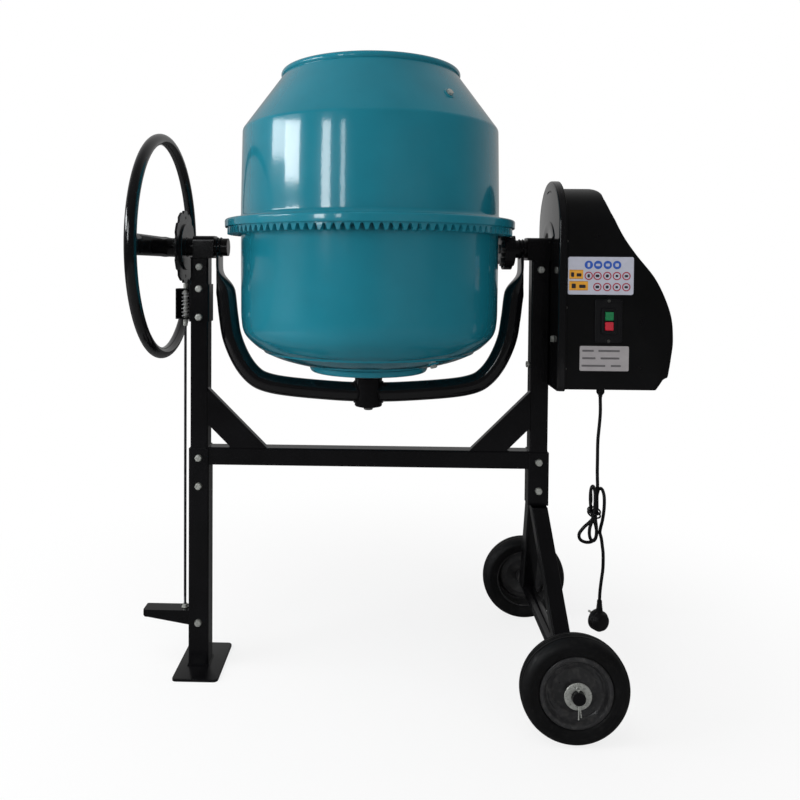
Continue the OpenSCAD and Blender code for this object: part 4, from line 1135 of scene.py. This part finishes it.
def make_wheels():
    half = [
        (71, 18), (73, 20.2), (76, 21.4), (79, 21.9), (80.5, 22.9), (82, 23.1), (85.5, 23.4), (87.5, 24.4),
        (89.5, 24.6), (92, 24.0), (96.5, 21.6), (100.6, 17.6), (103.2, 13.2), (104.2, 10.4), (102.4, 9.9),
        (102.3, 8.7), (104.5, 8.1), (104.9, 3.6), (102.7, 3.0), (102.7, 1.6), (104.9, 1.0),
    ]
    profile = half + [(r, -z) for r, z in reversed(half)]
    for side, end in ((-1, "front"), (1, "rear")):
        b = Build().add(*turned(profile, 160, True), wheel_at(side))
        b.make(
            end + "_tyre_ring", TYRE, end + "_wheel", slot="tyre_rubber", replaces=[end + "_tyre"], angle=32,
        )
        r = Build()
        sweep_steps, verts = 180, []
        outer = [(70.9, -18), (70.9, 17), (69.8, 19.6), (67.4, 21.2), (64.8, 21.6), (62.2, 20.6)]
        outer += [(60.6, 18.6), (59.4, 14.5)] + [(58 - 1.25 * k, None) for k in range(33)] + [(17, 12.2)]
        face = [(17, 12.2), (24, 11.2), (30, 9.2), (44, 4.4), (56, 8.4), (58, 11), (59.4, 14.5)]
        for radius, z in outer:
            for j, (x, y) in enumerate(circle_at(0, 0, radius, sweep_steps)):
                h = z
                if z is None:
                    lobe = (4 * j / sweep_steps + 0.25) % 1.0
                    across = max(0.0, 1 - ((radius - 48.5) / 5.0) ** 2)
                    along = max(0.0, 1 - (abs(lobe - 0.5) / 0.3) ** 4)
                    h = interp(face, radius) + 2.2 * min(1, across * 1.6) * along
                verts.append((x * MM, y * MM, h * MM))
        r.add(verts, grid_faces(len(outer), sweep_steps), wheel_at(side))
        back = [(68.4, -18), (68.4, 16.4), (66, 18.6), (63.6, 18.2), (61.4, 13), (57, 6.4), (44, 1.9)]
        r.add(*turned(back + [(30, 6.6), (17, 9.6)], sweep_steps), wheel_at(side))
        r.add(*turned([(70.9, -18), (68.4, -18)], sweep_steps), wheel_at(side))
        hub = [(12.6, -27), (16.2, -27), (17, -26.2), (17, 26.2), (16.2, 27), (12.6, 27)]
        r.add(*turned(hub, 48, True), wheel_at(side))
        r.make(end + "_rim_dish", RIM, end + "_wheel", slot="rim_paint", replaces=[end + "_rim"], angle=30)
    w = Build()
    section = [(12.7, 27.5), (25.4, 27.5), (26, 28), (26, 29.6), (25.2, 30.5), (13.4, 30.5), (12.7, 29.9)]
    for side in (-1, 1):
        w.add(*turned(section, 64, True), wheel_at(side))
    w.make("hub_washers", ZINC, "frame", slot="zinc", replaces=["wheel_washers"])
    pins = Build()
    for side in (-1, 1):
        turn = Matrix.Translation(place(AXLE_U, side * 299.5, AXLE_Z))
        turn = turn @ Matrix.Rotation(math.radians(-4), 4, "Y")
        for leg, tip in ((-1, 41), (1, 37)):
            eye = [(leg * x * MM, 0, z * MM) for z, x in arc(18, 0, 3.6, 0, 180, 12)]
            steps = (11, 4, -4, -12, -20, -28, -tip)
            shank = [(leg * (0.9 + max(0, -z - 14) * 0.07) * MM, 0, z * MM) for z in steps]
            pins.add(*tube(catmull(eye + shank, 3), 1.15 * MM), turn)
    pins.make("split_pins", ZINC, "frame", slot="zinc", replaces=["cotter_pins"])


make_wheels()

# ---- Frame details: pressed foot and weld beads ----


def make_frame_details():
    foot = Build()
    outline = round_rectangle(102 * MM, 168 * MM, 10 * MM)
    foot.add(*bevelled_prism(outline, 5 * MM, 1.2 * MM), Matrix.Translation(place(-376, 0, 0)))
    foot.make("foot_pressing", BLACK, "frame", slot="frame_paint", replaces=["foot_plate"])
    welds = Build()

    def seam(points, r, closed=False, seed=1):
        fine = []
        pts = [place(*p) for p in points]
        for a, c in zip(pts, pts[1:] + (pts[:1] if closed else [])):
            steps = max(2, int((c - a).length / 0.0012))
            fine += [a.lerp(c, k / steps) for k in range(steps)]
        if not closed:
            fine.append(pts[-1])
        count = len(fine)
        welds.add(*tube(fine, lambda t: r * MM * (1 + 0.14 * math.sin(seed + t * count * 1.1)), 8, closed,
                        not closed))

    h, s = 19.6, 23.2
    seam([(LEFT_X + x * s, y * s, 5.8) for x, y in ((-1, -1), (1, -1), (1, 1), (-1, 1))], 2.4, True)
    for side in (-1, 1):
        inner = side * 362
        seam([(inner - side * 0.5, -h, 463.5), (inner - side * 0.5, -h, 501)], 1.8, seed=2)
        seam([(inner - side * 0.5, -h, 502.6), (inner - side * 0.5, h, 502.6)], 1.6, seed=3)
        seam([(inner - side * 0.4, -18.4, 549.5), (inner - side * 0.4, -18.4, 629)], 1.5, seed=4)
        seam([(inner - side * 47, -18.4, 502.9), (inner - side * 127, -18.4, 502.9)], 1.5, seed=5)
        seam([(side * 382 - 20, -20.2, 930.2), (side * 382 + 20, -20.2, 930.2)], 1.6, seed=6)
    return welds.make("frame_welds", BLACK, "frame", slot="frame_paint")


make_frame_details()

# ---- Carried-over CAD nodes ----

KEEP = {
    BLACK: [
        "left_upright", "right_upright", "crossbar", "left_gusset", "right_gusset", "left_leg",
        "stand_sleeve", "front_stand_leg", "rear_stand_leg", "left_bearing_housing",
        "right_bearing_housing", "spring_bracket", "motor_bracket", "left_pivot_tube", "right_pivot_tube",
        "pinion_guard", "axle_tube", "axle",
    ],
    STEEL: ["yoke_bearings", "drive_shaft", "pinion", "motor_rotor"],
    ALUMINIUM: ["motor", "large_pulley"],
    CORD: ["drive_belt"],
}
for mat, names in KEEP.items():
    for name in names:
        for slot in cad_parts[name].material_slots:
            slot.material = mat

# ---- Floor, light and world ----


def make_floor():
    mesh = bpy.data.meshes.new("floor")
    mesh.from_pydata([(-30, -30, 0), (30, -30, 0), (30, 30, 0), (-30, 30, 0)], [], [(0, 1, 2, 3)])
    mesh.materials.append(make_floor_material())
    obj = bpy.data.objects.new("floor", mesh)
    bpy.context.scene.collection.objects.link(obj)


def make_floor_material():
    """Pale paper: soft shadows close to the machine, evenly lit further out, and dimmer in reflections."""
    mat = bpy.data.materials.new("studio_paper")
    tree = Tree(mat)

    def paper(value):
        return tree.add("BsdfDiffuse", {"Color": (value, value, value, 1)}).outputs[0]

    def blend(share, first, second):
        return tree.add("MixShader", {0: share, 1: first, 2: second}).outputs[0]

    coords = tree.add("TexCoord").outputs["Object"]
    reach = tree.add("VectorMath", {0: coords}, operation="LENGTH").outputs["Value"]
    fade = {"Value": reach, "From Min": 0.35, "From Max": 1.5, "To Min": 0.8, "To Max": 1.0}
    share = tree.add("MapRange", fade, interpolation_type="SMOOTHSTEP").outputs[0]
    even = tree.add("Emission", {"Color": (1, 1, 1, 1)}).outputs[0]
    path = tree.add("LightPath").outputs
    seen = blend(share, paper(0.8), even)
    unseen = blend(path["Is Glossy Ray"], paper(0.5), paper(0.12))
    tree.add("OutputMaterial", {"Surface": blend(path["Is Camera Ray"], unseen, seen)})
    return mat


make_floor()


def area_light(name, at, target, width, height, power, colour=(1, 1, 1)):
    data = bpy.data.lights.new(name, "AREA")
    data.shape = "RECTANGLE"
    data.size, data.size_y = width, height
    data.energy = power
    data.color = colour
    obj = bpy.data.objects.new(name, data)
    bpy.context.scene.collection.objects.link(obj)
    aim = (Vector(target) - Vector(at)).to_track_quat("-Z", "Y").to_matrix().to_4x4()
    obj.matrix_world = Matrix.Translation(at) @ aim
    return obj


def by_angle(degrees, distance, z):
    """A point round the drum: 0 degrees is towards the camera, and 90 is to the left."""
    a = math.radians(degrees)
    return Vector((DRUM_X - distance * math.sin(a), -distance * math.cos(a), z))


TARGET = Vector((DRUM_X, 0, 1.1))
DAY = (0.95, 0.98, 1)
for name, angle, low, width, height, power in (
    ("window_left", 80.6, 1.62, 0.9, 0.4, 8), ("window_middle", 66, 1.48, 0.8, 0.53, 15),
    ("window_right", 34.8, 1.17, 0.4, 0.84, 9), ("window_edge", 20.8, 1.2, 0.19, 0.8, 2.6),
):
    z = low + height / 2
    area_light(name, by_angle(angle, 3.2, z), Vector((DRUM_X, 0, z)), width, height, power, DAY)
for name, at, width, height, power in (
    ("ceiling", (DRUM_X - 0.9, -1.0, 3.8), 2.6, 2.0, 40), ("left_wall", by_angle(75, 3.0, 1.0), 2.0, 1.6, 76),
    ("room_front", by_angle(-30, 3.4, 1.0), 2.6, 1.6, 32),
):
    area_light(name, at, TARGET, width, height, power).visible_glossy = False


def make_world():
    """White to the camera, an even fill for matt surfaces, and a soft grade in reflections."""
    world = bpy.data.worlds.new("studio")
    bpy.context.scene.world = world
    tree = Tree(world)

    def grade(value, low, high, dark, light):
        limits = {"Value": value, "From Min": low, "From Max": high, "To Min": dark, "To Max": light}
        return tree.add("MapRange", limits, interpolation_type="SMOOTHSTEP").outputs[0]

    def switch(share, first, second):
        return tree.add("Mix", {"Factor": share, "A": first, "B": second}, data_type="FLOAT").outputs[0]

    towards = tree.add("SeparateXYZ", {0: tree.add("TexCoord").outputs["Generated"]}).outputs
    behind, above = grade(towards["Y"], -0.3, 0.75, 0.05, 0.32), grade(towards["Z"], 0.3, 0.95, 0, 0.05)
    reflected = tree.add("Math", {0: behind, 1: above}, operation="ADD").outputs[0]
    path = tree.add("LightPath").outputs
    unseen = switch(path["Is Glossy Ray"], 0.42, reflected)
    strength = switch(path["Is Camera Ray"], unseen, 1.0)
    back = tree.add("Background", {"Color": (1, 1, 1, 1), "Strength": strength})
    tree.add("OutputWorld", {"Surface": back.outputs[0]})


make_world()
bpy.context.scene.view_settings.view_transform = "Standard"
